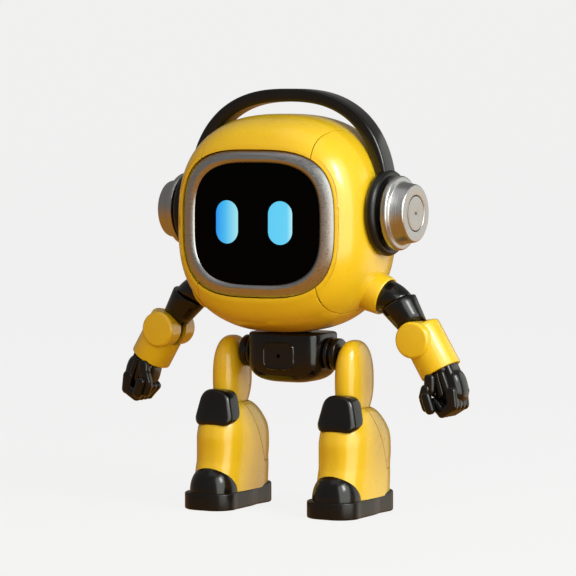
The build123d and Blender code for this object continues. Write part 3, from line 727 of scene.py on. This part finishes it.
# ---- ears and shoulders
def ears():
    """Cushion, dark base, turned drum and button of the left ear, and their mirror images."""
    origin = Vector((0, EAR.y, EAR.z))
    low, high = node_box("ear_cushion_left")
    outer, top = (high.z - low.z) / 2, high.x
    rim = 2.6
    turn = [radians(20 + 155 * k / 14) for k in range(15)]
    cushion = [(low.x, 12.0), (low.x, outer - 4.4), (top - 6.0, outer - 3.4)]
    cushion += [(top - 3.1 - rim * cos(a), outer - rim + rim * sin(a)) for a in turn]
    cushion += [(top - 0.9, outer - 3.5), (top - 0.85, outer - 4.0), (top - 0.4, outer - 4.5)]
    cushion += [(top - 0.25, outer - 5.1), (top - 0.6, outer - 5.7), (top - 1.4, outer - 5.9)]
    cushion += [(top - 1.4, 12.0)]
    place_pair(lathe("cushion", origin, X_AXIS, cushion, 128), "cushion", "head", CUSHION, "ear_cushion")

    flange = node_box("ear_drum_left")[0].x
    base = [(top - 3, 5.0), (top - 3, 15.0), (top - 1.4, 15.2), (flange, 15.2), (flange, 5.0)]
    place_pair(lathe("base", origin, X_AXIS, base), "base", "head", BLACK, "ear_base")

    face, step = EAR_FACE_X, flange + 3.3
    drum = [(flange, 3.4), (flange, 16.5), (flange + 0.25, 17.0), (flange + 0.7, 17.2), (step - 1.0, 17.2)]
    drum += [(step - 0.35, 16.85), (step - 0.05, 16.3), (step, 15.6), (step + 0.05, 14.75), (step + 0.4, 14.4)]
    drum += [(face - 0.9, 13.45), (face - 0.35, 13.2), (face - 0.05, 12.8), (face, 12.3)]
    drum += [(face, 8.75), (face - 0.12, 8.45), (face - 0.5, 8.3), (face - 4.8, 8.3), (face - 4.8, 3.4)]
    piece = lathe("drum", origin, X_AXIS, drum, 160, sharp=50)
    place_pair(piece, "drum", "head", TURNED, "ear_drum")

    button = [(58.0, 0), (58.0, 3.0), (face - 3.2, 3.0), (face - 3.2, 8.0), (face - 0.45, 8.0)]
    button += [(face - 0.1, 7.85), (face, 7.5), (face, 1.0), (face - 0.1, 0.75)]
    button += [(face - 0.9, 0.7), (face - 0.9, 0)]
    piece = lathe("button", origin, X_AXIS, button, 128, sharp=50)
    place_pair(piece, "button", "ear_button", TURNED, "ear_button")


def shoulders():
    """Yellow collar and the wedge-shaped black knuckle that leaves it."""
    tilt = radians(21.0)
    axis = Vector((cos(tilt), 0, -sin(tilt)))
    origin = SHOULDER + Vector((-1.7, 0, 0.9))
    collar = [(-13.0, 10.9), (-5.5, 9.75), (-1.0, 9.25), (-0.4, 9.12), (-0.08, 8.95), (0.0, 8.7)]
    collar += [(0.0, 8.45), (-0.15, 8.3), (-0.8, 8.2), (-0.8, 0.0)]
    piece = lathe("collar", origin, axis, collar, sharp=50)
    place_pair(piece, "collar", "head", YELLOW, "shoulder_collar")

    end = ARM_TOP + TWIST_SIDE * 0.7
    near = circle(origin - axis, axis, 8.0)
    far = circle(end - TWIST_AXIS * 0.7, TWIST_AXIS, 7.7)
    middle = (SHOULDER + end) / 2
    steps, bulge = 12, 0.7
    rows = []
    for k in range(steps + 1):
        swell = bulge * sin(pi * k / steps)
        row = [a.lerp(b, k / steps) for a, b in zip(near, far)]
        rows.append([p + (p - middle).normalized() * swell for p in row])
    rows += [circle(end - TWIST_AXIS * gap, TWIST_AXIS, radius) for gap, radius in ((0.35, 7.6), (0.15, 7.3))]
    piece = skin("knuckle", rows, sharp=45)
    place_pair(piece, "knuckle", "shoulder", BLACK, "shoulder_knuckle")


def upper_arms():
    """Tapered upper arm, cut square to its twist joint and hollowed round the elbow, with a ribbed tongue."""
    axis = (ELBOW - ARM_TOP).normalized()
    reach = (ELBOW - ARM_TOP).length
    side, other = across(axis)
    top_radius, end_radius, end = 8.9, 6.2, reach - 4.8
    columns, joint_gap = 96, 0.15
    rows = []
    for share, inset in ((0, 2.5), (0, 0.6), (0.01, 0.25), (0.04, 0), (0.3, 0), (0.6, 0), (1, 0)):
        row = []
        for k in range(columns):
            a = 2 * pi * k / columns
            out = side * cos(a) + other * sin(a)
            start = (joint_gap - (out * top_radius).dot(TWIST_AXIS)) / axis.dot(TWIST_AXIS)
            along = start + (end - start) * share
            radius = top_radius + (end_radius - top_radius) * max(along, 0) / end
            row.append(ARM_TOP + axis * along + out * (radius - inset))
        rows.append(row)
    sleeve = boolean(skin("sleeve", rows, sharp=45), rod("hollow", ELBOW, Y_AXIS, 20, 8.75, 128))

    half, edge = 2.2, 0.4
    teeth, tooth_height, turns, tongue_radius = 34, 0.2, 272, 7.05
    angles = [2 * pi * k / turns for k in range(turns)]
    rows = []
    for y, inset in ((-half, 0.5), (-half + edge, 0), (half - edge, 0), (half, 0.5)):
        ribs = [tongue_radius - inset + tooth_height * cos(teeth * a) for a in angles]
        rows.append([ELBOW + Vector((r * cos(a), y, r * sin(a))) for r, a in zip(ribs, angles)])
    disc = skin("disc", rows, sharp=45)
    web_y = (ELBOW.y - half + 0.05, ELBOW.y + half - 0.05)
    web = bar("web", ARM_TOP + axis * (reach - 11.5), ELBOW, 9.0, web_y, edge)
    place_pair(join("arm", [sleeve, disc, web]), "arm", "upper_arm", BLACK, "upper_arm")


def bar(name, start, end, thickness, y, round_over):
    """Flat bar with round ends in the XZ plane, between two y limits, with its edges rounded over."""
    run = Vector((end.x - start.x, 0, end.z - start.z)).normalized()
    side = Vector((-run.z, 0, run.x))
    radius = thickness / 2
    steps = 16
    rows = []
    for depth, inset in rounded(y[0], y[1], round_over):
        row = []
        for centre, sign in ((end, 1), (start, -1)):
            for k in range(steps + 1):
                a = -pi / 2 + pi * k / steps
                out = run * (sign * cos(a)) + side * (sign * sin(a))
                row.append(Vector((centre.x, depth, centre.z)) + out * (radius - inset))
        rows.append(row)
    return skin(name, rows, sharp=50)


def cuff_block(u, v, y):
    """Cutting block: u outward across the cuff, v up along it from the elbow, y back."""
    up, out = -CUFF_AXIS, Vector((-CUFF_AXIS.z, 0, CUFF_AXIS.x))
    corners = [(u[0], v[0]), (u[1], v[0]), (u[1], v[1]), (u[0], v[1])]
    return skin("block", [[ELBOW + out * a + up * b + Y_AXIS * c for a, b in corners] for c in y])


def forearms():
    """Cuff with the elbow's round clevis on it, an open slot for the tongue and a bore for the wrist."""
    low, high = node_box("elbow_cap_left")
    disc_radius, half_span = (high.x - low.x) / 2, ELBOW.y - high.y
    wall_top, mouth = 5.4, 17.7
    length, radius = wall_top + mouth, 9.8
    flat_u = 6.2
    far, slot_y = (-20, 20), (-2.5, 2.5)
    through_y = (-15, 15)

    tube = [(0, 7.2), (0.12, 8.4), (0.5, 9.15), (1.1, 9.6), (1.9, radius), (length - 0.55, radius)]
    tube += [(length - 0.2, 9.68), (length, 9.35)]
    arm = lathe("tube", WRIST - CUFF_AXIS * length, CUFF_AXIS, tube, 128)
    arm = boolean(arm, cuff_block((-40, 0), (1.0, 20), through_y))
    relief = rod("relief", ELBOW, Y_AXIS, 12, disc_radius + 0.9)
    arm = boolean(arm, boolean(relief, cuff_block((-40, 0), (-4.5, 4.5), through_y), "INTERSECT"))
    clevis = rod("clevis", ELBOW, Y_AXIS, half_span, disc_radius)
    clevis = boolean(clevis, cuff_block((flat_u, 40), far, (1.0, 20)))
    arm = boolean(arm, clevis, "UNION")
    bore = [(0, 8.1), (8.0, 8.1), (8.6, 8.8), (12, 8.8)]
    arm = boolean(arm, lathe("bore", WRIST - CUFF_AXIS * 8.2, CUFF_AXIS, bore))
    arm = boolean(arm, rod("slot_round", ELBOW, Y_AXIS, 2.5, 7.6))
    arm = boolean(arm, cuff_block((-15, flat_u), (-0.8, 16), slot_y))
    arm = boolean(arm, cuff_block((-15, -2), (-4.6, 0), slot_y))
    place_pair(resharpen(arm, 35), "cuff", "forearm", YELLOW, "forearm")

    r = disc_radius
    disc = [(0, r), (0.9, r), (1.12, r - 0.07), (1.3, r - 0.22), (1.82, r - 0.78), (1.94, r - 0.98)]
    disc += [(2.0, r - 1.3), (2.0, 0)]
    cap = lathe("cap", Vector((ELBOW.x, high.y, ELBOW.z)), -Y_AXIS, disc, sharp=60)
    place_pair(cap, "cap", "forearm", YELLOW, "elbow_cap")
    pin = lathe("pin", ELBOW + Y_AXIS * half_span, Y_AXIS, disc, sharp=60)
    pin = boolean(pin, cuff_block((flat_u, 40), far, far))
    place_pair(resharpen(pin, 50), "pin", "forearm", YELLOW, "elbow_pin")


# ---- hands
def hand_point(x, y, z):
    """Point in the hand's frame: x outward, y back, z up the wrist, from the cuff's mouth."""
    return WRIST + CUFF_AXIS * 0.2 + HAND_OUT * x + HAND_UP * z + Y_AXIS * y


def link(start, end, y, thick, width, power=2.6):
    """Rounded finger link between two (x, z) points of the hand's frame, centred on y."""
    a, b = hand_point(start[0], y, start[1]), hand_point(end[0], y, end[1])
    run, length = (b - a).normalized(), (b - a).length
    side = run.cross(Y_AXIS)
    radius = thick / 2
    steps, columns = 8, 40
    leans = [pi / 2 * k / steps for k in range(steps + 1)]
    stations = [(-radius * cos(lean), sin(lean) ** 0.8) for lean in leans]
    stations += [(length - along, share) for along, share in reversed(stations)]
    rows = []
    for along, share in stations:
        centre = a + run * along
        if share < 0.01:
            rows.append([centre])
        else:
            ring = outline(radius * share, width / 2 * share, power, columns)
            rows.append([centre + side * p + Y_AXIS * q for p, q in ring])
    return skin("link", rows, sharp=80)


def pebble(centre, half, power):
    """Superellipsoid in the hand's frame."""
    cx, cy, cz = centre
    rows = egg_rows(half, power, power, 26, 56)
    return skin("pebble", [[hand_point(cx + x, cy + y, cz + z) for x, y, z in row] for row in rows], sharp=80)


def hands():
    """Palm with its back plate and wrist plug, and a fist of four jointed fingers and a thumb."""
    plug = [(0, 0), (0, 7.2), (0.4, 7.6), (8.2, 7.6), (9.0, 7.1), (9.0, 0)]
    back_plate = link((4.4, 2.0), (6.9, -11.0), 0.0, 5.6, 11.5, 3.4)
    parts = [lathe("plug", WRIST - CUFF_AXIS * 7.4, CUFF_AXIS, plug, 64), back_plate]
    parts.append(pebble((0.2, -0.6, -6.2), (6.0, 6.6, 7.4), 3.2))
    parts.append(pebble((3.9, -0.3, -8.0), (6.4, 6.4, 8.2), 2.8))
    for x, drop in ((-3.0, 9.0), (0.6, 10.0), (4.0, 10.6)):
        parts.append(link((x * 0.8, -1.4), (x, -drop), -6.5, 3.3, 3.8))
    parts.append(link((-2.4, -2.4), (-3.8, -7.2), -8.4, 5.4, 5.0))
    place_pair(join("palm", parts), "palm", "hand", BLACK, "palm")

    finger_pitch, thick, wide = 3.7, 5.4, 4.05
    pieces = []
    for index in range(4):
        y = (index - 1.5) * finger_pitch - 1.4
        for number, (start, end) in enumerate(zip(FINGER_PATH, FINGER_PATH[1:])):
            pieces.append(link(start, end, y, thick - 0.3 * number, wide - 0.08 * number, 3.0))
    pieces.append(link((-5.2, -6.4), (-7.0, -9.4), -9.6, 4.6, 4.4))
    pieces.append(link((-7.4, -10.6), (-7.2, -14.4), -9.4, 4.2, 4.2))
    pieces.append(link((-4.8, -9.8), (-4.4, -15.8), -11.9, 4.6, 4.2))
    place_pair(join("fist", pieces), "fist", "hand", BLACK, "fingers")


# ---- pelvis
def pelvis():
    """Round-bottomed housing with a pinhole."""
    low, high = node_box("pelvis_housing")
    half_x, half_y = high.x, (high.y - low.y) / 2
    depth, power, columns = 12.0, 4.2, 160
    middle = Vector((0, (low.y + high.y) / 2, 0))
    bottom = middle + Z_AXIS * (low.z + depth)
    bowl = egg_rows((half_x, half_y, depth), 3.0, power, 18, columns, end=0.0)
    rows = [[bottom + Vector(point) for point in row] for row in bowl]
    for z, share in ((high.z - 1.2, 1.0), (high.z - 0.4, 0.985), (high.z, 0.95)):
        ring = outline(half_x * share, half_y * share, power, columns)
        rows.append([middle + Vector((x, y, z)) for x, y in ring])
    housing = boolean(skin("pelvis_shell", rows, sharp=50), pinhole(low.y))
    place(resharpen(housing, 40), "pelvis", BLACK, "pelvis_housing")


def pinhole(front):
    """Cutter for the pinhole that goes through the panel into the housing."""
    profile = [(-1.5, 0.95), (3.5, 0.95), (3.6, 0.6)]
    return lathe("hole", Vector((0, front, node_middle("pelvis_panel").z)), Y_AXIS, profile, 32)


def pelvis_panel():
    """Flat front panel with a raised rim and the pinhole."""
    housing_front = node_box("pelvis_housing")[0].y
    low, high = node_box("pelvis_panel")
    front, half_h, middle_z = housing_front - 0.35, (high.z - low.z) / 2, (low.z + high.z) / 2
    rows = []
    for inset, y in ((0, 1.6), (0, 0.5), (0.35, 0.0), (0.6, 0.0), (0.8, 0.25), (1.2, 0.3), (3.0, 0.3)):
        ring = outline(high.x - inset, half_h - inset, 4.5, 96)
        rows.append([Vector((x, front + y, z + middle_z)) for x, z in ring])
    panel = boolean(skin("front_panel", rows, sharp=50), pinhole(housing_front))
    place(resharpen(panel, 35), "pelvis", BLACK, "pelvis_panel")


def hip_shafts():
    """Grooved shaft from the pelvis into each thigh."""
    hip, _ = joint_point("hip_left")
    near, far = node_box("pelvis_housing")[1].x, node_box("thigh_inner_left")[0].x
    profile = [(near - 2, 6.4), (near + 0.2, 6.6), (near + 0.5, 7.5), (near + 0.9, 7.9), (near + 2.0, 7.9)]
    profile += [(near + 2.4, 7.6), (near + 2.5, 6.7), (near + 3.0, 6.7), (near + 3.1, 7.3), (near + 3.4, 7.55)]
    profile += [(far - 1.0, 7.55), (far - 0.6, 7.3), (far - 0.4, 6.8), (far - 0.4, 3.5)]
    profile += [(far + 8, 3.5), (far + 8, 0)]
    shaft = lathe("hip", Vector((0, hip.y, hip.z)), X_AXIS, profile, sharp=40)
    place_pair(shaft, "hip", "pelvis", BLACK, "hip_shaft")


# ---- legs
def thighs():
    """Flattened egg, narrower low at the back, split into a front and a rear half."""
    half_gap = 0.25
    rows = []
    for egg_row in egg_rows(THIGH_HALF, 2.5, 2.3, 72, 120):
        row = []
        for x, y, z in egg_row:
            if y > 0 > z:
                y *= 1 - 0.5 * (z / THIGH_HALF[2]) ** 2
            row.append(THIGH + Vector((x, y, z)))
        rows.append(row)
    front = skin("egg", rows, sharp=60)
    rear = copy_of(front, "rear")
    cut(front, Y_AXIS * (THIGH_SEAM_Y - half_gap), Y_AXIS)
    cut(rear, Y_AXIS * (THIGH_SEAM_Y + half_gap), -Y_AXIS)
    for half in (front, rear):
        shell(half, 1.6, 0.2)
    place_pair(front, "thigh_shell_front", "thigh", YELLOW, "thigh_inner")
    place_pair(rear, "thigh_shell_rear", "thigh", YELLOW, "thigh_outer")


def boot_level(z):
    """Smooth values between the boot's levels: middle y, half width, half length, power."""
    heights = [level[0] for level in BOOT_LEVELS]
    return [smooth_value(z, heights, [level[i] for level in BOOT_LEVELS]) for i in (1, 2, 3, 4)]


def smooth_value(t, knots, values):
    """Monotone cubic through (knot, value) pairs."""
    index = max(k for k in range(len(knots) - 1) if knots[k] <= t or k == 0)
    slopes = [(values[k + 1] - values[k]) / (knots[k + 1] - knots[k]) for k in range(len(knots) - 1)]

    def tangent(k):
        if k == 0:
            return slopes[0]
        if k == len(knots) - 1:
            return slopes[-1]
        a, b = slopes[k - 1], slopes[k]
        return 0.0 if a * b <= 0 else 2 * a * b / (a + b)

    span = knots[index + 1] - knots[index]
    u = (t - knots[index]) / span
    return (values[index] * (1 + 2 * u) * (1 - u) ** 2 + tangent(index) * span * u * (1 - u) ** 2
            + values[index + 1] * u * u * (3 - 2 * u) + tangent(index + 1) * span * u * u * (u - 1))


def boot_rows(step=0.8, columns=144):
    """Rings of the boot from the sole up to the collar's rim."""
    bottom, top = BOOT_LEVELS[0][0], BOOT_LEVELS[-1][0]
    count = int((top - bottom) / step)
    rows = []
    for k in range(count + 1):
        height = bottom + (top - bottom) * k / count
        middle, half_x, half_y, power = boot_level(height)
        ring = outline(half_x, half_y, power, columns)
        rows.append([Vector((LEG_X + x, middle + y, height)) for x, y in ring])
    return rows


def wedge(gap):
    """Block behind the calf's slanted seam and above its lower end, smaller by a gap."""
    reach, half_width = 45.0, 20.0
    run = (CALF_TOP - CALF_LOW).normalized()
    behind = Vector((0, run.z, -run.y))
    low = Vector((0, CALF_LOW.y, CALF_LOW.z + gap)) + behind * gap
    high = low + run * reach
    corners = [(low.y, low.z), (reach, low.z), (reach, high.z), (high.y, high.z)]
    return skin("wedge", [[Vector((LEG_X + x, y, z)) for y, z in corners] for x in (-half_width, half_width)])


def boots():
    """Boot shell with a collar round the thigh, and the calf cover behind its slanted seam."""
    rows = boot_rows()
    rim = rows[-1]
    centre = Vector((LEG_X, BOOT_LEVELS[-1][1], BOOT_LEVELS[-1][0]))
    half_gap = 0.14
    for share, drop in ((0.95, -0.2), (0.92, 0.3), (0.94, 1.0), (1.1, 3.0), (1.1, 12.0)):
        rows.append([centre + (p - centre) * share - Z_AXIS * drop for p in rim])
    body = skin("boot_body", rows, sharp=60)
    calf = boolean(copy_of(body, "calf"), wedge(half_gap), "INTERSECT")
    body = boolean(body, wedge(-half_gap))
    place_pair(resharpen(body, 40), "boot_body", "foot", YELLOW, "boot")
    place_pair(resharpen(calf, 40), "calf", "foot", YELLOW, "calf_cover")


def rounded_outline(corners, radii, steps=10):
    """Convex outline through corners given counter-clockwise, each rounded with an arc."""
    outline = []
    count = len(corners)
    for k, radius in enumerate(radii):
        here, before, after = Vector(corners[k]), Vector(corners[k - 1]), Vector(corners[(k + 1) % count])
        to_before, to_after = (before - here).normalized(), (after - here).normalized()
        half = to_before.angle(to_after) / 2
        centre = here + (to_before + to_after).normalized() * (radius / sin(half))
        start = here + to_before * (radius / tan(half)) - centre
        stop = here + to_after * (radius / tan(half)) - centre
        for step in range(steps + 1):
            outline.append(centre + start.lerp(stop, step / steps).normalized() * radius)
    return outline


def knee_pads():
    """Black shield over the knee: a rounded trapezoid, bowed round the leg and leaning back."""
    bottom, top = 39.3, 56.2
    half_bottom, half_top = 11.1, 7.0
    front_y, lean, bow = -22.0, 0.24, 0.026
    corners = [(-half_bottom, bottom), (half_bottom, bottom), (half_top, top), (-half_top, top)]
    edge = rounded_outline(corners, (3.6, 3.6, 6.3, 6.3))
    centre = Vector((0, (bottom + top) / 2))
    profile = [(1.0, 8.5), (1.0, 1.9), (0.985, 1.25), (0.95, 0.72), (0.89, 0.34), (0.82, 0.14), (0.7, 0.04)]
    profile.append((0.35, 0.0))
    rows = []
    for share, depth in profile:
        spots = [centre + (point - centre) * share for point in edge]
        rows.append([
            Vector((LEG_X + x, front_y + lean * (z - bottom) + bow * x * x + depth, z)) for x, z in spots])
    place_pair(skin("pad", rows, sharp=60), "knee_shield", "foot", BLACK, "knee_pad")


def toe_caps():
    """Black dome over the toes."""
    low, high = node_box("toe_cap_left")
    centre = Vector((LEG_X, (low.y + high.y) / 2 + 1.5, low.z))
    dome = egg_rows((11.3, 12.5, high.z - low.z), 2.25, 2.25, 28, 96, start=0.0)
    rows = [[centre + Vector(point) for point in row] for row in dome]
    place_pair(skin("toe", rows, sharp=60), "toe_dome", "foot", BLACK, "toe_cap")


def sole_outline():
    """(x, y, outward x, outward y) round the sole: a slight waist between four round corners."""
    half_width, waist_depth, waist_y, waist_reach = 12.6, 1.0, 5.0, 5.0
    toe_half, toe_radius = 13.0, 10
    heel_half, heel_radius = 12.4, 9
    corner_steps = 12
    points = []

    def corner(x, y, radius, start):
        for k in range(corner_steps + 1):
            a = radians(start + 90 * k / corner_steps)
            points.append((x + radius * cos(a), y + radius * sin(a), cos(a), sin(a)))

    def side(sign, ys):
        for y in ys:
            waist = waist_depth * exp(-((y - waist_y) / waist_reach) ** 2)
            points.append((sign * (half_width - waist), y, sign, 0.0))

    ys = [SOLE_LOW.y + 12 + 2 * k for k in range(12)]
    side(1, ys)
    corner(heel_half - heel_radius, SOLE_HIGH.y - heel_radius, heel_radius, 0)
    corner(-heel_half + heel_radius, SOLE_HIGH.y - heel_radius, heel_radius, 90)
    side(-1, ys[::-1])
    corner(-toe_half + toe_radius, SOLE_LOW.y + toe_radius, toe_radius, 180)
    corner(toe_half - toe_radius, SOLE_LOW.y + toe_radius, toe_radius, 270)
    return points


def soles():
    """Thick rubber sole, thicker at the heel, with its edges rounded."""
    heel_rise, heel_y, heel_blend, edge = 1.7, 8.0, 3.0, 0.8
    rows = []
    for z, inset in rounded(SOLE_LOW.z, SOLE_HIGH.z, edge):
        share = (z - SOLE_LOW.z) / (SOLE_HIGH.z - SOLE_LOW.z)
        row = []
        for x, y, nx, ny in sole_outline():
            rise = heel_rise * share / (1 + exp(-(y - heel_y) / heel_blend))
            row.append(Vector((LEG_X + x - nx * inset, y - ny * inset, z + rise)))
        rows.append(row)
    place_pair(skin("sole_plate", rows, sharp=50), "sole_plate", "foot", SOLE, "sole")


# ---- CAD nodes that stay
def finish_cad_nodes():
    """Materials of the CAD nodes that keep their own mesh."""
    kept = {
        "head_frame": INNER, "display_module": INNER, "speaker": INNER, "waist_servo": INNER,
        "neck_post": BLACK[0], "main_board": BOARD, "battery_pack": BATTERY,
        "knee_pin_left": STEEL, "knee_pin_right": STEEL,
    }
    for node, material in kept.items():
        mesh = frame["nodes"][node].data
        mesh.materials.clear()
        mesh.materials.append(material)


# ---- stage
def stage_shader(name, glow, albedo):
    """Pale stage surface: mostly its own even light, with a little shading for contact shadows."""
    material = bpy.data.materials.new(name)
    material.use_nodes = True
    tree = material.node_tree
    tree.nodes.clear()
    emission = add_node(tree, "Emission", Color=(*grey(glow), 1))
    diffuse = add_node(tree, "BsdfDiffuse", Color=(*grey(albedo), 1))
    total = add_node(tree, "AddShader")
    tree.links.new(emission.outputs["Emission"], total.inputs[0])
    tree.links.new(diffuse.outputs["BSDF"], total.inputs[1])
    add_node(tree, "OutputMaterial", Surface=total.outputs["Shader"])
    return material


def area_light(name, place_at, aim, size, watts, colour):
    """Rectangular lamp turned to a point, seen only by its light."""
    data = bpy.data.lights.new(name, "AREA")
    data.shape = "RECTANGLE"
    data.size, data.size_y = size
    data.energy = watts
    data.color = colour
    light = add_object(name, data)
    light.location = place_at
    light.rotation_euler = (aim - place_at).to_track_quat("-Z", "Y").to_euler()
    light.visible_camera = False
    return light


def direction(azimuth, elevation):
    """Unit vector from the robot, with the azimuth taken from its front to its left side."""
    a, e = radians(azimuth), radians(elevation)
    return Vector((sin(a) * cos(e), -cos(a) * cos(e), sin(e)))


def stage_floor():
    """Pale round floor with a raised rim. Its sizes are in metres."""
    flat, bend, top, below_soles = 1.9, 0.4, 1.0, 0.02
    steps = 12
    turns = [pi / 2 * k / steps for k in range(steps + 1)]
    profile = [(0.0, 0.0)] + [(bend * (1 - cos(a)), flat + bend * sin(a)) for a in turns]
    profile.append((top, flat + bend))
    profile = [(height / MM, radius / MM) for height, radius in profile]
    floor = lathe("floor", Z_AXIS * -below_soles, Z_AXIS, profile, cap_start=False, cap_end=False)
    floor.data.materials.append(stage_shader("pale_floor", 0.855, 0.05))
    floor.visible_diffuse = False
    floor.visible_glossy = False


def stage_world():
    """Soft light from all round: neutral from above, golden from below."""
    world = bpy.data.worlds.new("studio")
    world.use_nodes = True
    tree = world.node_tree
    background = tree.nodes["Background"]
    background.inputs["Strength"].default_value = 1.0
    height = unit_span(tree, coordinate(tree, "Generated", "Z"), -0.7, 0.7)
    warm, cool = (0.46, 0.20, 0.035), (0.20, 0.19, 0.18)
    vary(tree, background, "Color", height, (0.25, warm), (0.6, cool))
    bpy.context.scene.world = world


def stage_lights():
    """Big softbox and a small core on the robot's left, a rim from behind, and a warm fill in front."""
    middle = Vector((0, 0, 0.11))
    for name, azimuth, elevation, distance, size, watts, colour in LIGHTS:
        place_at = middle + direction(azimuth, elevation) * distance
        light = area_light(name, place_at, middle, size, watts, colour)
        light.visible_glossy = name != "fill"


def stage_camera():
    """Long lens, turned to the robot's left and slightly above."""
    data = bpy.data.cameras.new("camera")
    data.lens = 193.75
    data.sensor_width = 36.0
    camera = add_object("camera", data)
    target, distance = Vector((0, -0.0045, 0.1045)), 1.455
    back = direction(29.5, 3.5)
    camera.location = target + back * distance
    camera.rotation_euler = (-back).to_track_quat("-Z", "Y").to_euler()
    bpy.context.scene.camera = camera
    bpy.context.scene.view_settings.view_transform = "Standard"


head_shells()
face_bezel()
screen_lens()
eye_lights()
headband()
ears()
shoulders()
upper_arms()
forearms()
hands()
pelvis()
pelvis_panel()
hip_shafts()
thighs()
boots()
knee_pads()
toe_caps()
soles()
finish_cad_nodes()
stage_floor()
stage_world()
stage_lights()
stage_camera()

bpy.context.view_layer.update()
